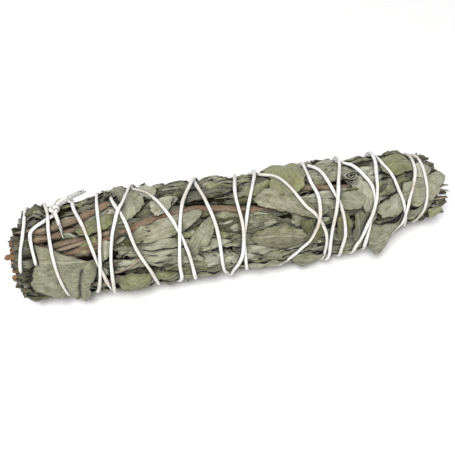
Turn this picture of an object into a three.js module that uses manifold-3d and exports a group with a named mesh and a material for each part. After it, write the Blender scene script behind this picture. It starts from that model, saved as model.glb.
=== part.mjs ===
// A bunch of dried white sage, bound with cotton string and lying on its side.
//
// Seven leafy sprigs are packed side by side round a centre stem, like the slices of a pie.
// Each sprig is one solid: a slim core of crushed foliage and the leaves that stand out of it.
// Woody stems run between them from the cut end, at the left. Broad loose leaves are laid
// over the sprigs, and one string winds to the leafy end and back and is knotted near the
// cut end. Lengths are in millimetres and angles in degrees. The bunch lies along X with its
// cut end at -X, on the surface z = 0. An angle round the bunch is 0 at the top and 90 at
// the front, -Y.

import * as THREE from "three";
import { mergeVertices } from "three/addons/utils/BufferGeometryUtils.js";
import Module from "manifold-3d";

const wasm = await Module();
wasm.setup();

// Driving dimensions
const AXIS_HEIGHT = 22.9; // the bunch's middle above the surface it lies on
const MIDDLE = 1.3; // x, as listed below, of the middle of the bunch
const GIRTH = [
  // [x, radius of the leaves there]: blunt at the cut end, tapered at the leafy one
  [-107, 18],
  [-97, 20.9],
  [-88, 22.4],
  [-75, 23.6],
  [-55, 24.8],
  [-15, 24.5],
  [20, 24.1],
  [55, 24.2],
  [75, 22.3],
  [88, 18.4],
  [98, 15.8],
  [108, 12.3],
];
const CORE_DEPTH = 2.6; // how far the foliage core lies under the leaves
const CORE_ENDS = [-95, 93];
const CORE_STATIONS = 11;
const INNER_RADIUS = 2.4; // room for the centre stem
const BLADE = 0.8; // thickness of a leaf, crumpled as it dries
const GAP = 0.36; // between two pieces that touch
const SLIVER = 0.22; // detail smaller than this is smoothed away
const STRING_RADIUS = 0.85;
const STRING_SIDES = 5;
const STRING_STEPS_A_TURN = 13;
const CROSSING_LIFT = 1.25; // a later turn is pressed into an earlier one where they cross
const SPRIGS = 7;
const LEAF_ROWS = 7; // leaves along each sprig
const LEAFY_END = 106.5; // x of the last leaf tips
const LIES_ON = 180; // the angle that faces the surface
const SECTOR = 360 / SPRIGS;
const SWAY = [58, 92, 5]; // the leafy end bends this far back, from one x to the other
const MEAN_RADIUS = 23; // turns an angle round the bunch into a length across a leaf

const SAGE = 0x9a9c84;
const PALE_SAGE = 0xa9aa96;
const OLIVE_SAGE = 0x888a63;
const BARK = 0x8a6a54;
const COTTON = 0xe6e2da;

const rad = THREE.MathUtils.degToRad;
const { lerp, clamp, smoothstep } = THREE.MathUtils;

// A small seeded generator, so that every build draws the same leaves.
function seeded(seed) {
  let state = seed >>> 0;
  return () => {
    state = (state + 0x6d2b79f5) >>> 0;
    let t = state;
    t = Math.imul(t ^ (t >>> 15), t | 1);
    t ^= t + Math.imul(t ^ (t >>> 7), t | 61);
    return ((t ^ (t >>> 14)) >>> 0) / 4294967296;
  };
}

// The value at x of a list of [x, value], eased between its stations.
function along(stations, x) {
  if (x <= stations[0][0]) return stations[0][1];
  for (let i = 1; i < stations.length; i++) {
    const [x0, v0] = stations[i - 1];
    const [x1, v1] = stations[i];
    if (x <= x1) return lerp(v0, v1, (x - x0) / (x1 - x0));
  }
  return stations.at(-1)[1];
}

// Radius of the leaves' outside: the girth, with the low lumps of a hand-bound bunch.
function skin(x, deg) {
  const a = rad(deg);
  const lumps =
    0.7 * Math.sin(2 * a + x / 40 + 0.6) +
    0.45 * Math.sin(3 * a - x / 23 + 2) +
    0.25 * Math.sin(5 * a + x / 11);
  return along(GIRTH, x) + lumps;
}

// The surface presses the leaves that lie on it a hair past z = 0, where they are cut flat.
const PRESS = 0.06;
function flattened(deg, radius) {
  const down = -Math.cos(rad(deg));
  return down > 0.3 ? Math.min(radius, (AXIS_HEIGHT + PRESS) / down) : radius;
}

// The point at x, at an angle round the bunch and a radius from its middle.
function place(x, deg, radius) {
  const a = rad(deg);
  const back = SWAY[2] * smoothstep(x, SWAY[0], SWAY[1]);
  return new THREE.Vector3(x - MIDDLE, back - radius * Math.sin(a), AXIS_HEIGHT + radius * Math.cos(a));
}

// Solids from triangles, with points nearer than weld taken as one, and back
function solidFrom(geometry, weld = 1e-4) {
  const bare = geometry.index ? geometry : geometry.clone();
  bare.deleteAttribute("normal");
  bare.deleteAttribute("uv");
  const merged = mergeVertices(bare, weld);
  const solid = new wasm.Manifold(
    new wasm.Mesh({
      numProp: 3,
      vertProperties: new Float32Array(merged.attributes.position.array),
      triVerts: new Uint32Array(merged.index.array),
    }),
  );
  if (solid.volume() >= 0) return solid;
  const index = merged.index.array;
  for (let i = 0; i < index.length; i += 3) [index[i], index[i + 1]] = [index[i + 1], index[i]];
  return solidFrom(merged);
}

function geometryOf(solid) {
  const mesh = solid.getMesh();
  const position = new Float32Array(mesh.numVert * 3);
  for (let i = 0; i < mesh.numVert; i++) {
    const start = i * mesh.numProp;
    position.set(mesh.vertProperties.subarray(start, start + 3), i * 3);
  }
  const geometry = new THREE.BufferGeometry();
  geometry.setAttribute("position", new THREE.BufferAttribute(position, 3));
  geometry.setIndex(new THREE.BufferAttribute(new Uint32Array(mesh.triVerts), 1));
  geometry.computeVertexNormals();
  return geometry;
}

const join = (solids) => wasm.Manifold.union(solids);

// The largest closed body, without loose scraps or sealed hollows.
function largest(solid) {
  return solid.decompose().reduce((best, s) => (s.volume() > best.volume() ? s : best));
}

// Cuts each tool out of the solid, where it reaches it.
function carve(solid, tools) {
  const reaching = tools.filter((tool) => solid.intersect(tool).volume() > 0);
  return reaching.length ? largest(solid.subtract(join(reaching))) : solid;
}

const trimmedFlat = (solid) => largest(solid.trimByPlane([0, 0, 1], 0));

// The edges along which a body touches itself once near points are taken as one.
function pinches(geometry) {
  const { array } = geometry.attributes.position;
  const corners = Array.from(geometry.index.array, (i) =>
    [0, 1, 2].map((k) => Math.round(array[3 * i + k] * 1000)).join(" "),
  );
  const edges = new Map();
  for (let i = 0; i < corners.length; i += 3) {
    const face = corners.slice(i, i + 3);
    if (new Set(face).size < 3) continue;
    face.forEach((corner, j) => {
      const edge = [corner, face[(j + 1) % 3]].sort().join("|");
      edges.set(edge, (edges.get(edge) ?? 0) + 1);
    });
  }
  const touching = [...edges].filter(([, uses]) => uses !== 2);
  return touching.map(([edge]) => {
    const [from, to] = edge.split("|").map((c) => new THREE.Vector3(...c.split(" ").map((n) => n / 1000)));
    return { middle: from.clone().lerp(to, 0.5), reach: from.distanceTo(to) / 2 + 0.15 };
  });
}

// The same body without the slivers that a cut leaves, nicked where it touches itself.
function tidied(solid) {
  let body = solid;
  for (let tries = 0; tries < 8; tries++) {
    body = largest(body.asOriginal().simplify(SLIVER));
    const geometry = geometryOf(body);
    const found = pinches(geometry);
    if (!found.length) return geometryOf(largest(solidFrom(geometry, 1e-3)));
    const nicks = found.map(({ middle, reach }) => {
      const ball = new THREE.OctahedronGeometry(reach, 0);
      ball.rotateX(0.3).rotateY(0.2).translate(...middle.toArray());
      return solidFrom(ball);
    });
    body = body.subtract(join(nicks));
  }
  throw new Error("a body touches itself along an edge");
}

// A closed body from rows of points on its two faces. Both faces are split alike.
function slab(top, bottom) {
  const rows = top.length;
  const across = top[0].length;
  const points = [...top.flat(), ...bottom.flat()];
  const under = rows * across;
  const at = (i, j) => i * across + j;
  const index = [];
  const quad = (a, b, c, d) => index.push(a, b, c, a, c, d);
  for (let i = 0; i < rows - 1; i++) {
    for (let j = 0; j < across - 1; j++) {
      const [a, b, c, d] = [at(i, j), at(i + 1, j), at(i + 1, j + 1), at(i, j + 1)];
      index.push(a, b, c, a, c, d);
      index.push(under + a, under + c, under + b, under + a, under + d, under + c);
    }
    quad(at(i, 0), under + at(i, 0), under + at(i + 1, 0), at(i + 1, 0));
    const last = across - 1;
    quad(at(i + 1, last), under + at(i + 1, last), under + at(i, last), at(i, last));
  }
  for (let j = 0; j < across - 1; j++) {
    const far = rows - 1;
    quad(at(0, j + 1), under + at(0, j + 1), under + at(0, j), at(0, j));
    quad(at(far, j), under + at(far, j), under + at(far, j + 1), at(far, j + 1));
  }
  const geometry = new THREE.BufferGeometry();
  geometry.setAttribute("position", new THREE.Float32BufferAttribute(points.flatMap((p) => p.toArray()), 3));
  geometry.setIndex(index);
  return solidFrom(geometry);
}

// A tube through points, closed at both ends.
function tube(points, radius, sides, steps) {
  const section = new THREE.Shape();
  for (let i = 0; i < sides; i++) {
    const a = (2 * Math.PI * i) / sides;
    const move = i === 0 ? "moveTo" : "lineTo";
    section[move](radius * Math.cos(a), radius * Math.sin(a));
  }
  section.closePath();
  const path = new THREE.CatmullRomCurve3(points, false, "centripetal");
  path.arcLengthDivisions = Math.max(200, points.length * 4);
  const extrude = { steps, bevelEnabled: false, extrudePath: path, curveSegments: 1 };
  return solidFrom(new THREE.ExtrudeGeometry(section, extrude));
}

// Width of a sage leaf along its length, as a share of its greatest: a tapered foot, a
// broad middle and a blunt tip.
const leafOutline = (t) => 0.16 + 0.84 * Math.sin(Math.PI * clamp(0.1 + 0.84 * t, 0, 1)) ** 0.8;

// A leaf blade lying on the bunch. x and deg place its foot, heading is the way it runs from
// +X towards the front, and bend turns it along its length. depth gives how far it lies under
// the skin at t along it, and cup how much lower its two edges lie. swell is extra room round
// the whole blade, and keep(x, deg) can hold a point inside its own sprig.
function blade({ x, deg, heading, bend = 0, length, width, depth, cup = 0.8, wave = 0.5, rows = 4, phase = 0 }, swell = 0, keep) {
  const top = [];
  const bottom = [];
  const step = length / (rows - 1);
  let [px, py] = [x, rad(deg) * MEAN_RADIUS];
  for (let i = 0; i < rows; i++) {
    const t = i / (rows - 1);
    const turn = rad(heading + bend * (t - 0.5));
    if (i > 0) {
      px += step * Math.cos(turn);
      py += step * Math.sin(turn);
    }
    const grow = i === 0 ? -swell : i === rows - 1 ? swell : 0;
    const half = (width / 2) * leafOutline(t) + swell;
    const upper = [];
    const lower = [];
    for (const side of [-1, 0, 1]) {
      const edge = half * side * (1 + 0.12 * Math.sin(2.3 * i + phase + side));
      const sx = px + grow * Math.cos(turn) - edge * Math.sin(turn);
      const sdeg = (((py + grow * Math.sin(turn) + edge * Math.cos(turn)) / MEAN_RADIUS) * 180) / Math.PI;
      const held = keep ? keep(sx, sdeg) : sdeg;
      const crimp = side * wave * Math.sin(1.9 * i + phase);
      const lies = skin(sx, held) - Math.max(0, depth(t, sx, held) + cup * Math.abs(side) + crimp);
      const radius = flattened(held, lies);
      upper.push(place(sx, held, radius + swell));
      lower.push(place(sx, held, radius - BLADE - swell));
    }
    top.push(upper);
    bottom.push(lower);
  }
  return slab(top, bottom);
}

// Broad loose leaves, laid over the sprigs and held by the string. Each is placed by its
// middle. A folded or torn one has an outline of [x, deg] points, and a corner [x, deg, mm]
// may stand out. The first sixteen show from the front, the others lie behind and below.
const LOOSE_LEAVES = [
  { x: -78, deg: 66, heading: 70, length: 36, width: 24, colour: PALE_SAGE,
    outline: [[-90, 21], [-77, 37], [-63, 49], [-65, 68], [-69, 98], [-75, 116], [-83, 100], [-94, 79], [-92, 45]] },
  { x: -60, deg: 8, heading: -14, length: 25, width: 7, bend: 0, colour: OLIVE_SAGE },
  { x: -48, deg: -34, heading: 70, length: 24, width: 11, colour: SAGE,
    outline: [[-58, -58], [-50, -58], [-43, -42], [-40, -22], [-41, -1], [-47, -6], [-50, -22], [-55, -40]] },
  { x: -44, deg: -3, heading: 80, length: 13, width: 9, colour: PALE_SAGE,
    outline: [[-49, -14], [-39, -16], [-38, -4], [-42, 6], [-48, 9], [-51, -2]] },
  { x: -30, deg: 24, heading: -12, length: 36, width: 10, bend: -10, colour: SAGE },
  { x: -15, deg: 42, heading: -52, length: 22, width: 9, bend: 0, colour: PALE_SAGE },
  { x: 30, deg: -24, heading: 84, length: 28, width: 17, colour: OLIVE_SAGE,
    outline: [[20, -56], [32, -50], [40, -34], [38, -12], [35, 5], [26, 9], [20, 4], [22, -20]] },
  { x: 27, deg: 20, heading: 30, length: 30, width: 13, colour: SAGE,
    outline: [[12, 6], [20, -1], [30, 8], [38, 22], [41, 40], [32, 32], [22, 24], [13, 15]] },
  { x: 24, deg: 53, heading: 8, length: 24, width: 10, colour: SAGE,
    outline: [[12, 42], [24, 40], [32, 48], [36, 62], [25, 66], [13, 61], [8, 50]] },
  { x: 38, deg: 55, heading: 80, length: 14, width: 8, colour: OLIVE_SAGE,
    outline: [[32, 38], [40, 40], [43, 50], [40, 64], [35, 72], [33, 55]] },
  { x: 57, deg: 25, heading: 10, length: 12, width: 8, colour: PALE_SAGE,
    outline: [[51, 16], [59, 15], [64, 23], [61, 34], [53, 33]] },
  { x: 64, deg: 18, heading: 66, length: 34, width: 7, bend: 60, colour: SAGE },
  { x: 77, deg: 44, heading: -18, length: 16, width: 12, colour: PALE_SAGE,
    outline: [[68, 40], [76, 33], [85, 32], [86, 47], [82, 61], [72, 55]] },
  { x: 84, deg: -6, heading: 6, length: 15, width: 11, colour: OLIVE_SAGE,
    outline: [[75, -2], [77, -22], [86, -31], [94, -16], [92, 2], [84, 9]] },
  { x: 95, deg: 32, heading: -10, length: 24, width: 18, colour: PALE_SAGE,
    outline: [[84, 23], [93, 17], [106, 4], [108, 22], [104, 42], [98, 60], [86, 55]] },
  { x: 82, deg: 83, heading: -14, length: 32, width: 14, colour: PALE_SAGE, corner: [72, 112, 4],
    outline: [[64, 59], [80, 66], [99, 61], [97, 82], [84, 88], [76, 98], [71, 114], [65, 91]] },
  { x: -60, deg: 232, heading: 18, length: 46, width: 19, bend: 10, colour: PALE_SAGE },
  { x: -18, deg: 268, heading: -28, length: 44, width: 18, bend: -12, colour: SAGE },
  { x: 36, deg: 236, heading: 24, length: 48, width: 18, bend: 8, colour: PALE_SAGE },
  { x: 74, deg: 282, heading: -20, length: 40, width: 17, bend: 0, colour: SAGE },
  { x: 2, deg: 122, heading: 12, length: 42, width: 16, bend: 10, colour: SAGE },
  { x: 31, deg: 180, heading: 6, length: 18.5, width: 15, bend: 0, colour: SAGE }, // it lies on this one
];
const LOOSE_ROWS = 6;
const PATCH_SIDES = 10;
const LAID_UNDER = 1.4; // how far the sprigs are pressed down under a loose leaf

// The same leaf, placed by its foot.
function fromFoot(leaf) {
  const start = rad(leaf.heading - leaf.bend * 0.25);
  const back = leaf.length / 2;
  const turned = (((back * Math.sin(start)) / MEAN_RADIUS) * 180) / Math.PI;
  return { ...leaf, x: leaf.x - back * Math.cos(start), deg: leaf.deg - turned };
}

// 1 under the middle of a loose leaf, and 0 clear of all of them.
function pressed(x, deg) {
  let most = 0;
  for (const leaf of LOOSE_LEAVES) {
    const dx = x - leaf.x;
    const dy = rad(((deg - leaf.deg + 540) % 360) - 180) * MEAN_RADIUS;
    const h = rad(leaf.heading);
    const u = Math.abs(dx * Math.cos(h) + dy * Math.sin(h)) - leaf.length / 2;
    const v = Math.abs(dy * Math.cos(h) - dx * Math.sin(h)) - leaf.width / 2;
    most = Math.max(most, 1 - smoothstep(Math.max(u, v), 1.5, 5));
  }
  return most;
}

// A leaf within its outline: a middle point, and rings at 0.6 and at all of the way out.
function patch({ outline, corner }, swell) {
  const flat = outline.map(([x, deg]) => new THREE.Vector3(x, rad(deg) * MEAN_RADIUS, 0));
  const rim = new THREE.CatmullRomCurve3(flat, true, "centripetal").getPoints(PATCH_SIDES).slice(1);
  const middle = new THREE.Vector3();
  rim.forEach((p) => middle.addScaledVector(p, 1 / PATCH_SIDES));
  const stand = (x, y) => {
    if (!corner) return 0;
    const away = Math.hypot(x - corner[0], y - rad(corner[1]) * MEAN_RADIUS);
    return corner[2] * Math.exp(-((away / 7) ** 2));
  };
  const at = (p, share, side) => {
    const flatPoint = middle.clone().lerp(p, share);
    if (share > 0) flatPoint.addScaledVector(p.clone().sub(middle).normalize(), swell * share);
    const deg = THREE.MathUtils.radToDeg(flatPoint.y / MEAN_RADIUS);
    const lies = skin(flatPoint.x, deg) - 0.15 - 0.4 * share ** 2 + stand(flatPoint.x, flatPoint.y);
    return place(flatPoint.x, deg, flattened(deg, lies) + (side > 0 ? swell : -BLADE - swell));
  };
  const shares = [0.6, 1];
  const faceOf = (side) => [at(middle, 0, side), ...shares.flatMap((share) => rim.map((p) => at(p, share, side)))];
  const points = [...faceOf(1), ...faceOf(-1)];
  const under = points.length / 2;
  const index = [];
  for (let i = 0; i < PATCH_SIDES; i++) {
    const [a, b] = [1 + i, 1 + ((i + 1) % PATCH_SIDES)];
    const [c, d] = [a + PATCH_SIDES, b + PATCH_SIDES];
    index.push(0, a, b, a, c, d, a, d, b);
    index.push(under, under + b, under + a, under + a, under + d, under + c, under + a, under + b, under + d);
    index.push(c, under + c, under + d, c, under + d, d);
  }
  const geometry = new THREE.BufferGeometry();
  geometry.setAttribute("position", new THREE.Float32BufferAttribute(points.flatMap((p) => p.toArray()), 3));
  geometry.setIndex(index);
  return solidFrom(geometry);
}

function looseLeaf(leaf, i, swell = 0) {
  if (leaf.outline) return patch(leaf, swell);
  const depth = (t) => 0.05 + 0.9 * (1 - smoothstep(t, 0, 0.3)) + 0.25 * smoothstep(t, 0.75, 1);
  return blade({ ...fromFoot(leaf), rows: LOOSE_ROWS, depth, cup: 0.35, wave: 0.15, phase: i }, swell);
}

// Stems: [x, deg, depth of the stem's outside under the skin] along each, and its radius.
// The first six show at the front. The others are raised round the back by a loop.
const STEMS = [
  { radius: 2, route: [[-100, 5, 3], [-90, 5, 0.8], [-79, 3, 0.3], [-63, -13, 0.3], [-53, -24, 0.6], [-38, -34, 8]] },
  { radius: 1.6, route: [[-102, 18, 2.4], [-90, 16, 0.7], [-80, 15, 0.3], [-70, 11, 0.8], [-56, 7, 5], [-30, 2, 9]] },
  { radius: 1.4, route: [[-105, 32, 3.6], [-91, 30, 1.8], [-80, 26, 0.4], [-68, 22, 0.8], [-52, 14, 5], [-26, 22, 9]] },
  { radius: 1.5, route: [[-103, 47, 3.6], [-90, 44, 2.4], [-74, 38, 0.5], [-60, 29, 0.3], [-45, 17, 0.3], [-29, 9, 0.3], [-13, 8, 0.3], [5, 16, 0.3], [15, 19, 1], [34, 24, 6]] },
  { radius: 1.5, route: [[-103.5, 82, 4], [-90, 90, 3.2], [-72, 92, 2.4], [-60, 84, 0.5], [-52, 80, 1.5], [-34, 76, 6]] },
  { radius: 1.4, route: [[8, -12, 7], [26, -6, 4], [36, -1, 0.6], [48, 4, 0.4], [60, 7, 1.6], [76, 12, 6]] },
];
const BACK_STEMS = 7;
const INNER_STEMS = 4;
const STEM_SIDES = 6;
const CENTRE_STEM = 1.7; // its radius

function allStems() {
  const draw = seeded(41);
  const stems = STEMS.map((stem) => ({ ...stem, open: true }));
  for (let i = 0; i < BACK_STEMS; i++) {
    const deg = 116 + 31 * i;
    const start = -100 - 4 * draw();
    const end = -52 + 34 * draw();
    const route = [[start, deg + 4, 4], [-88, deg, 2.4], [-70, deg - 3, 3.4], [end, deg - 8, 8.5]];
    stems.push({ radius: 1.3 + 0.4 * draw(), route });
  }
  for (let i = 0; i < INNER_STEMS; i++) {
    const deg = 40 + 90 * i;
    const start = -99 - 4 * draw();
    const end = -30 + 40 * draw();
    stems.push({ radius: 1.5 + 0.3 * draw(), route: [[start, deg, 9.6], [-70, deg + 3, 12], [end, deg + 4, 12.6]] });
  }
  return stems;
}

function stemTube({ radius, route }, grow = 0, outward = 0) {
  const points = route.map(([x, deg, depth]) => place(x, deg, skin(x, deg) - depth - radius + outward));
  if (grow > 0) {
    const [first, second] = points;
    points[0] = first.clone().addScaledVector(second.clone().sub(first).normalize(), -2 * grow);
    const [beforeLast, last] = points.slice(-2);
    points[points.length - 1] = last.clone().addScaledVector(last.clone().sub(beforeLast).normalize(), grow);
  }
  return tube(points, radius + grow, STEM_SIDES, Math.max(6, 2 * route.length - 2));
}

// The room that a stem needs in the sprigs. A stem that shows is open to the outside.
function stemRoom(stem) {
  const room = [stemTube(stem, GAP + 0.2)];
  if (stem.open) room.push(stemTube(stem, GAP, 1.6));
  return join(room);
}

function centreStem(radius, from, to) {
  const points = [-1, -0.3, 0.4, 1].map((t, i) => {
    const x = lerp(from, to, (t + 1) / 2);
    return new THREE.Vector3(x - MIDDLE, 0.3 * Math.sin(i), AXIS_HEIGHT + 0.3 * Math.cos(i));
  });
  return tube(points, radius, STEM_SIDES, 4);
}

// Sprigs
const boundary = (k, x) => LIES_ON + SECTOR * (k - 0.5) + 4 * Math.sin(x / 26 + 1.7 * (k % SPRIGS));

// The sprig's foliage core: a wavy slice of the bunch, a little smaller than its leaves.
function sprigCore(k) {
  const sections = [];
  for (let i = 0; i < CORE_STATIONS; i++) {
    const x = lerp(...CORE_ENDS, i / (CORE_STATIONS - 1));
    const rounded = i === CORE_STATIONS - 1 ? 4 : i === 0 ? 1 : 0;
    const [from, to] = [boundary(k, x), boundary(k + 1, x)];
    const clear = (radius) => ((GAP * 0.7) / radius) * (180 / Math.PI);
    const arc = [0, 1 / 3, 2 / 3, 1].map((u) => {
      const deg = lerp(from + clear(MEAN_RADIUS), to - clear(MEAN_RADIUS), u);
      const depth = CORE_DEPTH + rounded + 0.6 * LAID_UNDER * pressed(x, deg);
      return place(x, deg, flattened(deg, skin(x, deg)) - depth);
    });
    const inner = [from + clear(INNER_RADIUS), to - clear(INNER_RADIUS)].map((deg) => place(x, deg, INNER_RADIUS));
    sections.push([inner[0], ...arc, inner[1]]);
  }
  return loft(sections);
}

// A closed body through rings of points of one length each.
function loft(rings) {
  const size = rings[0].length;
  const index = [];
  for (let i = 0; i < rings.length - 1; i++) {
    for (let j = 0; j < size; j++) {
      const a = i * size + j;
      const b = i * size + ((j + 1) % size);
      index.push(a, b, b + size, a, b + size, a + size);
    }
  }
  const last = (rings.length - 1) * size;
  for (let j = 1; j < size - 1; j++) {
    index.push(0, j + 1, j);
    index.push(last, last + j, last + j + 1);
  }
  const geometry = new THREE.BufferGeometry();
  geometry.setAttribute("position", new THREE.Float32BufferAttribute(rings.flat().flatMap((p) => p.toArray()), 3));
  geometry.setIndex(index);
  return solidFrom(geometry);
}

// The sprig's leaves overlap like shingles: each foot is sunk in the core and each tip lies
// on top. Rows run the whole length, the cut end shows leaf ends and the other end a tuft.
function sprigLeaves(k) {
  const draw = seeded(700 + k);
  const middleOf = (x, share) => lerp(boundary(k, x), boundary(k + 1, x), share);
  const keep = (x, deg) => {
    const clear = 0.9;
    return clamp(deg, boundary(k, x) + clear, boundary(k + 1, x) - clear);
  };
  const laid = (from, to) => (t, x, deg) =>
    lerp(from, to, smoothstep(t, 0, 0.55)) + LAID_UNDER * pressed(x, deg) * smoothstep(t, 0, 0.4);
  const leaves = [];
  const add = (leaf) => leaves.push(blade({ ...leaf, phase: 6 * draw() }, 0, keep));
  for (let row = 0; row < LEAF_ROWS; row++) {
    const x = lerp(-92, 56, row / (LEAF_ROWS - 1));
    const side = row % 2;
    const foot = x + 6 * draw();
    add({
      x: foot,
      deg: middleOf(foot, side ? 0.68 : 0.32) + 3 * draw(),
      heading: (side ? 5 : -5) + 8 * (draw() - 0.5),
      length: Math.min(47 + 10 * draw(), LEAFY_END - foot),
      width: 13 + 4 * draw(),
      depth: laid(4.4, 0.1 + 0.5 * draw()),
    });
  }
  for (const share of [0.28, 0.74]) {
    add({
      x: -76,
      deg: middleOf(-76, share),
      heading: 180 + 6 * (draw() - 0.5),
      length: 22 + 4 * draw(),
      width: 9 + 2 * draw(),
      depth: laid(4.6, 1.2 + 1.6 * draw()),
    });
  }
  for (const [share, from, to] of [[0.25, 4, 0.2], [0.75, 4, 0.6], [0.5, 9, 5]]) {
    const foot = 68 + 5 * draw();
    add({
      x: foot,
      deg: middleOf(foot, share),
      heading: 6 * (draw() - 0.5),
      length: LEAFY_END - foot - 5 * draw(),
      width: 10 + 2 * draw(),
      depth: laid(from, to),
    });
  }
  return leaves;
}

// The string. Each turn lists [degrees round, x], from the top over the front to the back.
const STRING_TURNS = [
  [[-18, -80], [-10, -85], [0, -90.5], [12, -91.5], [43, -90.5], [100, -90], [180, -92], [250, -94]],
  [[-20, -94], [7, -95], [25, -96.5], [53, -98], [100, -98], [180, -95], [250, -90]],
  [[-22, -83], [6, -83], [50, -82], [90, -80], [120, -79], [180, -77], [250, -74]],
  [[-25, -71], [10, -67], [50, -63], [94, -59], [180, -57], [250, -56]],
  [[-25, -53], [10, -48], [40, -45], [76, -39], [120, -37], [180, -39], [250, -42]],
  [[-48, -43], [-24, -36], [0, -30], [26, -25], [60, -21], [116, -19], [180, -17], [250, -15]],
  [[-32, -13], [0, -10], [33, -7], [98, -5], [140, 2], [180, 5.5], [250, 12]],
  [[-42, 17], [-24, 24], [0, 30], [22, 35], [36, 40], [62, 44], [96, 44], [180, 42], [250, 40]],
  [[-47, 41], [-21, 46], [6, 49], [33, 52], [65, 53], [98, 52], [180, 54], [250, 56]],
  [[-34, 58], [-26, 62], [-4, 66], [14, 68.5], [34, 68.5], [49, 66], [98, 64], [180, 69], [250, 73]],
  [[-17, 77], [6, 80], [28, 82], [50, 84], [73, 85], [112, 87], [180, 91], [250, 95]],
  [[-22, 97], [38, 97.5], [84, 95], [116, 93], [180, 93], [250, 93]],
  [[-2, 93], [30, 90], [49, 87], [68, 84.5], [83, 83], [104, 80], [180, 78], [250, 76]],
  [[-25, 74], [1, 72], [23, 70], [43, 67], [55, 64], [76, 61], [95, 59], [180, 58], [250, 58]],
  [[-36, 57], [0, 53], [34, 49], [64, 46], [106, 46], [180, 44], [250, 42]],
  [[-47, 40], [-6, 40], [15, 42], [37, 41], [66, 36], [81, 31], [116, 23], [180, 20], [250, 18]],
  [[-42, 16], [-12, 13], [21, 8], [51, 5], [110, 6], [180, 10], [250, 9]],
  [[-35, 6], [0, 4], [37, 5], [63, 4], [81, 2], [103, -1], [180, -5.5], [250, -9]],
  [[-44, -13], [-17, -18], [0, -21], [31, -24], [67, -26], [101, -26], [180, -33], [250, -39]],
  [[-50, -44], [-15, -48], [0, -51], [20, -54], [40, -56], [58, -57], [103, -58], [180, -59], [250, -60]],
  [[-31, -60], [21, -60], [38, -61], [56, -62], [108, -66], [180, -70], [250, -74], [315, -79], [338, -80.4]],
];
const PATH_STEP = 5; // degrees between the points of the string's path
const STRING_RIDE = -0.5; // sinks the string a little into the leaves

// x along the string's path at every few degrees, eased between the points listed.
function stringPath() {
  const marks = STRING_TURNS.flatMap((turn, n) => turn.map(([deg, x]) => new THREE.Vector2(deg + 360 * n, x)));
  const path = [];
  const end = marks.at(-1).x;
  let k = 0;
  for (let deg = marks[0].x; deg <= end; deg += PATH_STEP) {
    while (k < marks.length - 2 && deg > marks[k + 1].x) k++;
    const [p0, p1, p2, p3] = [marks[Math.max(0, k - 1)], marks[k], marks[k + 1], marks[Math.min(marks.length - 1, k + 2)]];
    const span = p2.x - p1.x;
    const t = (deg - p1.x) / span;
    const m1 = ((p2.y - p0.y) / (p2.x - p0.x)) * span;
    const m2 = ((p3.y - p1.y) / (p3.x - p1.x)) * span;
    const x =
      (2 * t ** 3 - 3 * t ** 2 + 1) * p1.y + (t ** 3 - 2 * t ** 2 + t) * m1 +
      (3 * t ** 2 - 2 * t ** 3) * p2.y + (t ** 3 - t ** 2) * m2;
    path.push({ deg, x, lift: 0 });
  }
  return path;
}

// Raises each later turn over the earlier ones that it crosses.
function liftCrossings(path) {
  const apart = 180 / PATH_STEP;
  path.forEach((point, i) => {
    for (let j = 0; j < i - apart; j++) {
      const other = path[j];
      const dx = point.x - other.x;
      if (Math.abs(dx) > 6) continue;
      const dy = rad(((point.deg - other.deg + 180) % 360) - 180) * MEAN_RADIUS;
      const near = 1 - smoothstep(Math.hypot(dx, dy), 0.8, 5);
      point.lift = Math.max(point.lift, CROSSING_LIFT * near);
    }
  });
  return path;
}

function stringPoint({ x, deg, lift }) {
  const ride = skin(x, deg) + GAP + STRING_RADIUS + STRING_RIDE + lift;
  const down = -Math.cos(rad(deg));
  const limit = down > 0.2 ? (AXIS_HEIGHT - STRING_RADIUS - 0.15) / down : Infinity;
  return place(x, deg, Math.min(ride, limit));
}

const KNOT = { x: -79.5, deg: -20 };

// The winding, with the overhand knot and the two loose ends fused to it.
function tieString(grow = 0) {
  const path = liftCrossings(stringPath());
  const turns = STRING_TURNS.length;
  const winding = tube(path.map(stringPoint), STRING_RADIUS + grow, STRING_SIDES, turns * STRING_STEPS_A_TURN);
  const at = (x, deg, up) => place(KNOT.x + x, KNOT.deg + deg, skin(KNOT.x, KNOT.deg) + up);
  const knot = tube([at(-2.6, 4, 1.6), at(-0.8, -3, 3), at(1.4, -2, 2.8), at(1.6, 5, 2.2), at(-1.4, 3, 3)], 1.1 + grow, 6, 8);
  const tail = tube([at(0, 0, 2.4), at(3, -7, 2.9), at(8, -16, 3), at(12.5, -27, 2.6)], 1 + grow, 6, 6);
  const shortEnd = tube([at(0, 0, 2.2), at(0.6, 12, 2), at(1.2, 26, 1.7)], STRING_RADIUS + grow, 6, 4);
  return largest(join([winding, knot, tail, shortEnd]));
}

// The bunch
const bunch = new THREE.Group();
bunch.name = "sage_bunch";

function show(name, solid, colour, roughness) {
  const material = new THREE.MeshStandardMaterial({ color: colour, roughness, metalness: 0 });
  const mesh = new THREE.Mesh(tidied(solid), material);
  mesh.name = name;
  bunch.add(mesh);
}

const two = (n) => String(n + 1).padStart(2, "0");

const winding = tieString();
const windingRoom = tieString(GAP);
show("tie_string", winding, COTTON, 0.95);

// A leaf laid later lies over the earlier ones, which are cut clear of it.
const loose = LOOSE_LEAVES.map((leaf, i) => {
  const over = LOOSE_LEAVES.slice(i + 1).map((other, j) => looseLeaf(other, i + 1 + j, GAP));
  return trimmedFlat(carve(looseLeaf(leaf, i), [windingRoom, ...over]));
});
loose.forEach((solid, i) => show("loose_leaf_" + two(i), solid, LOOSE_LEAVES[i].colour, 0.9));
const looseRoom = LOOSE_LEAVES.map((leaf, i) => looseLeaf(leaf, i, GAP));

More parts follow.
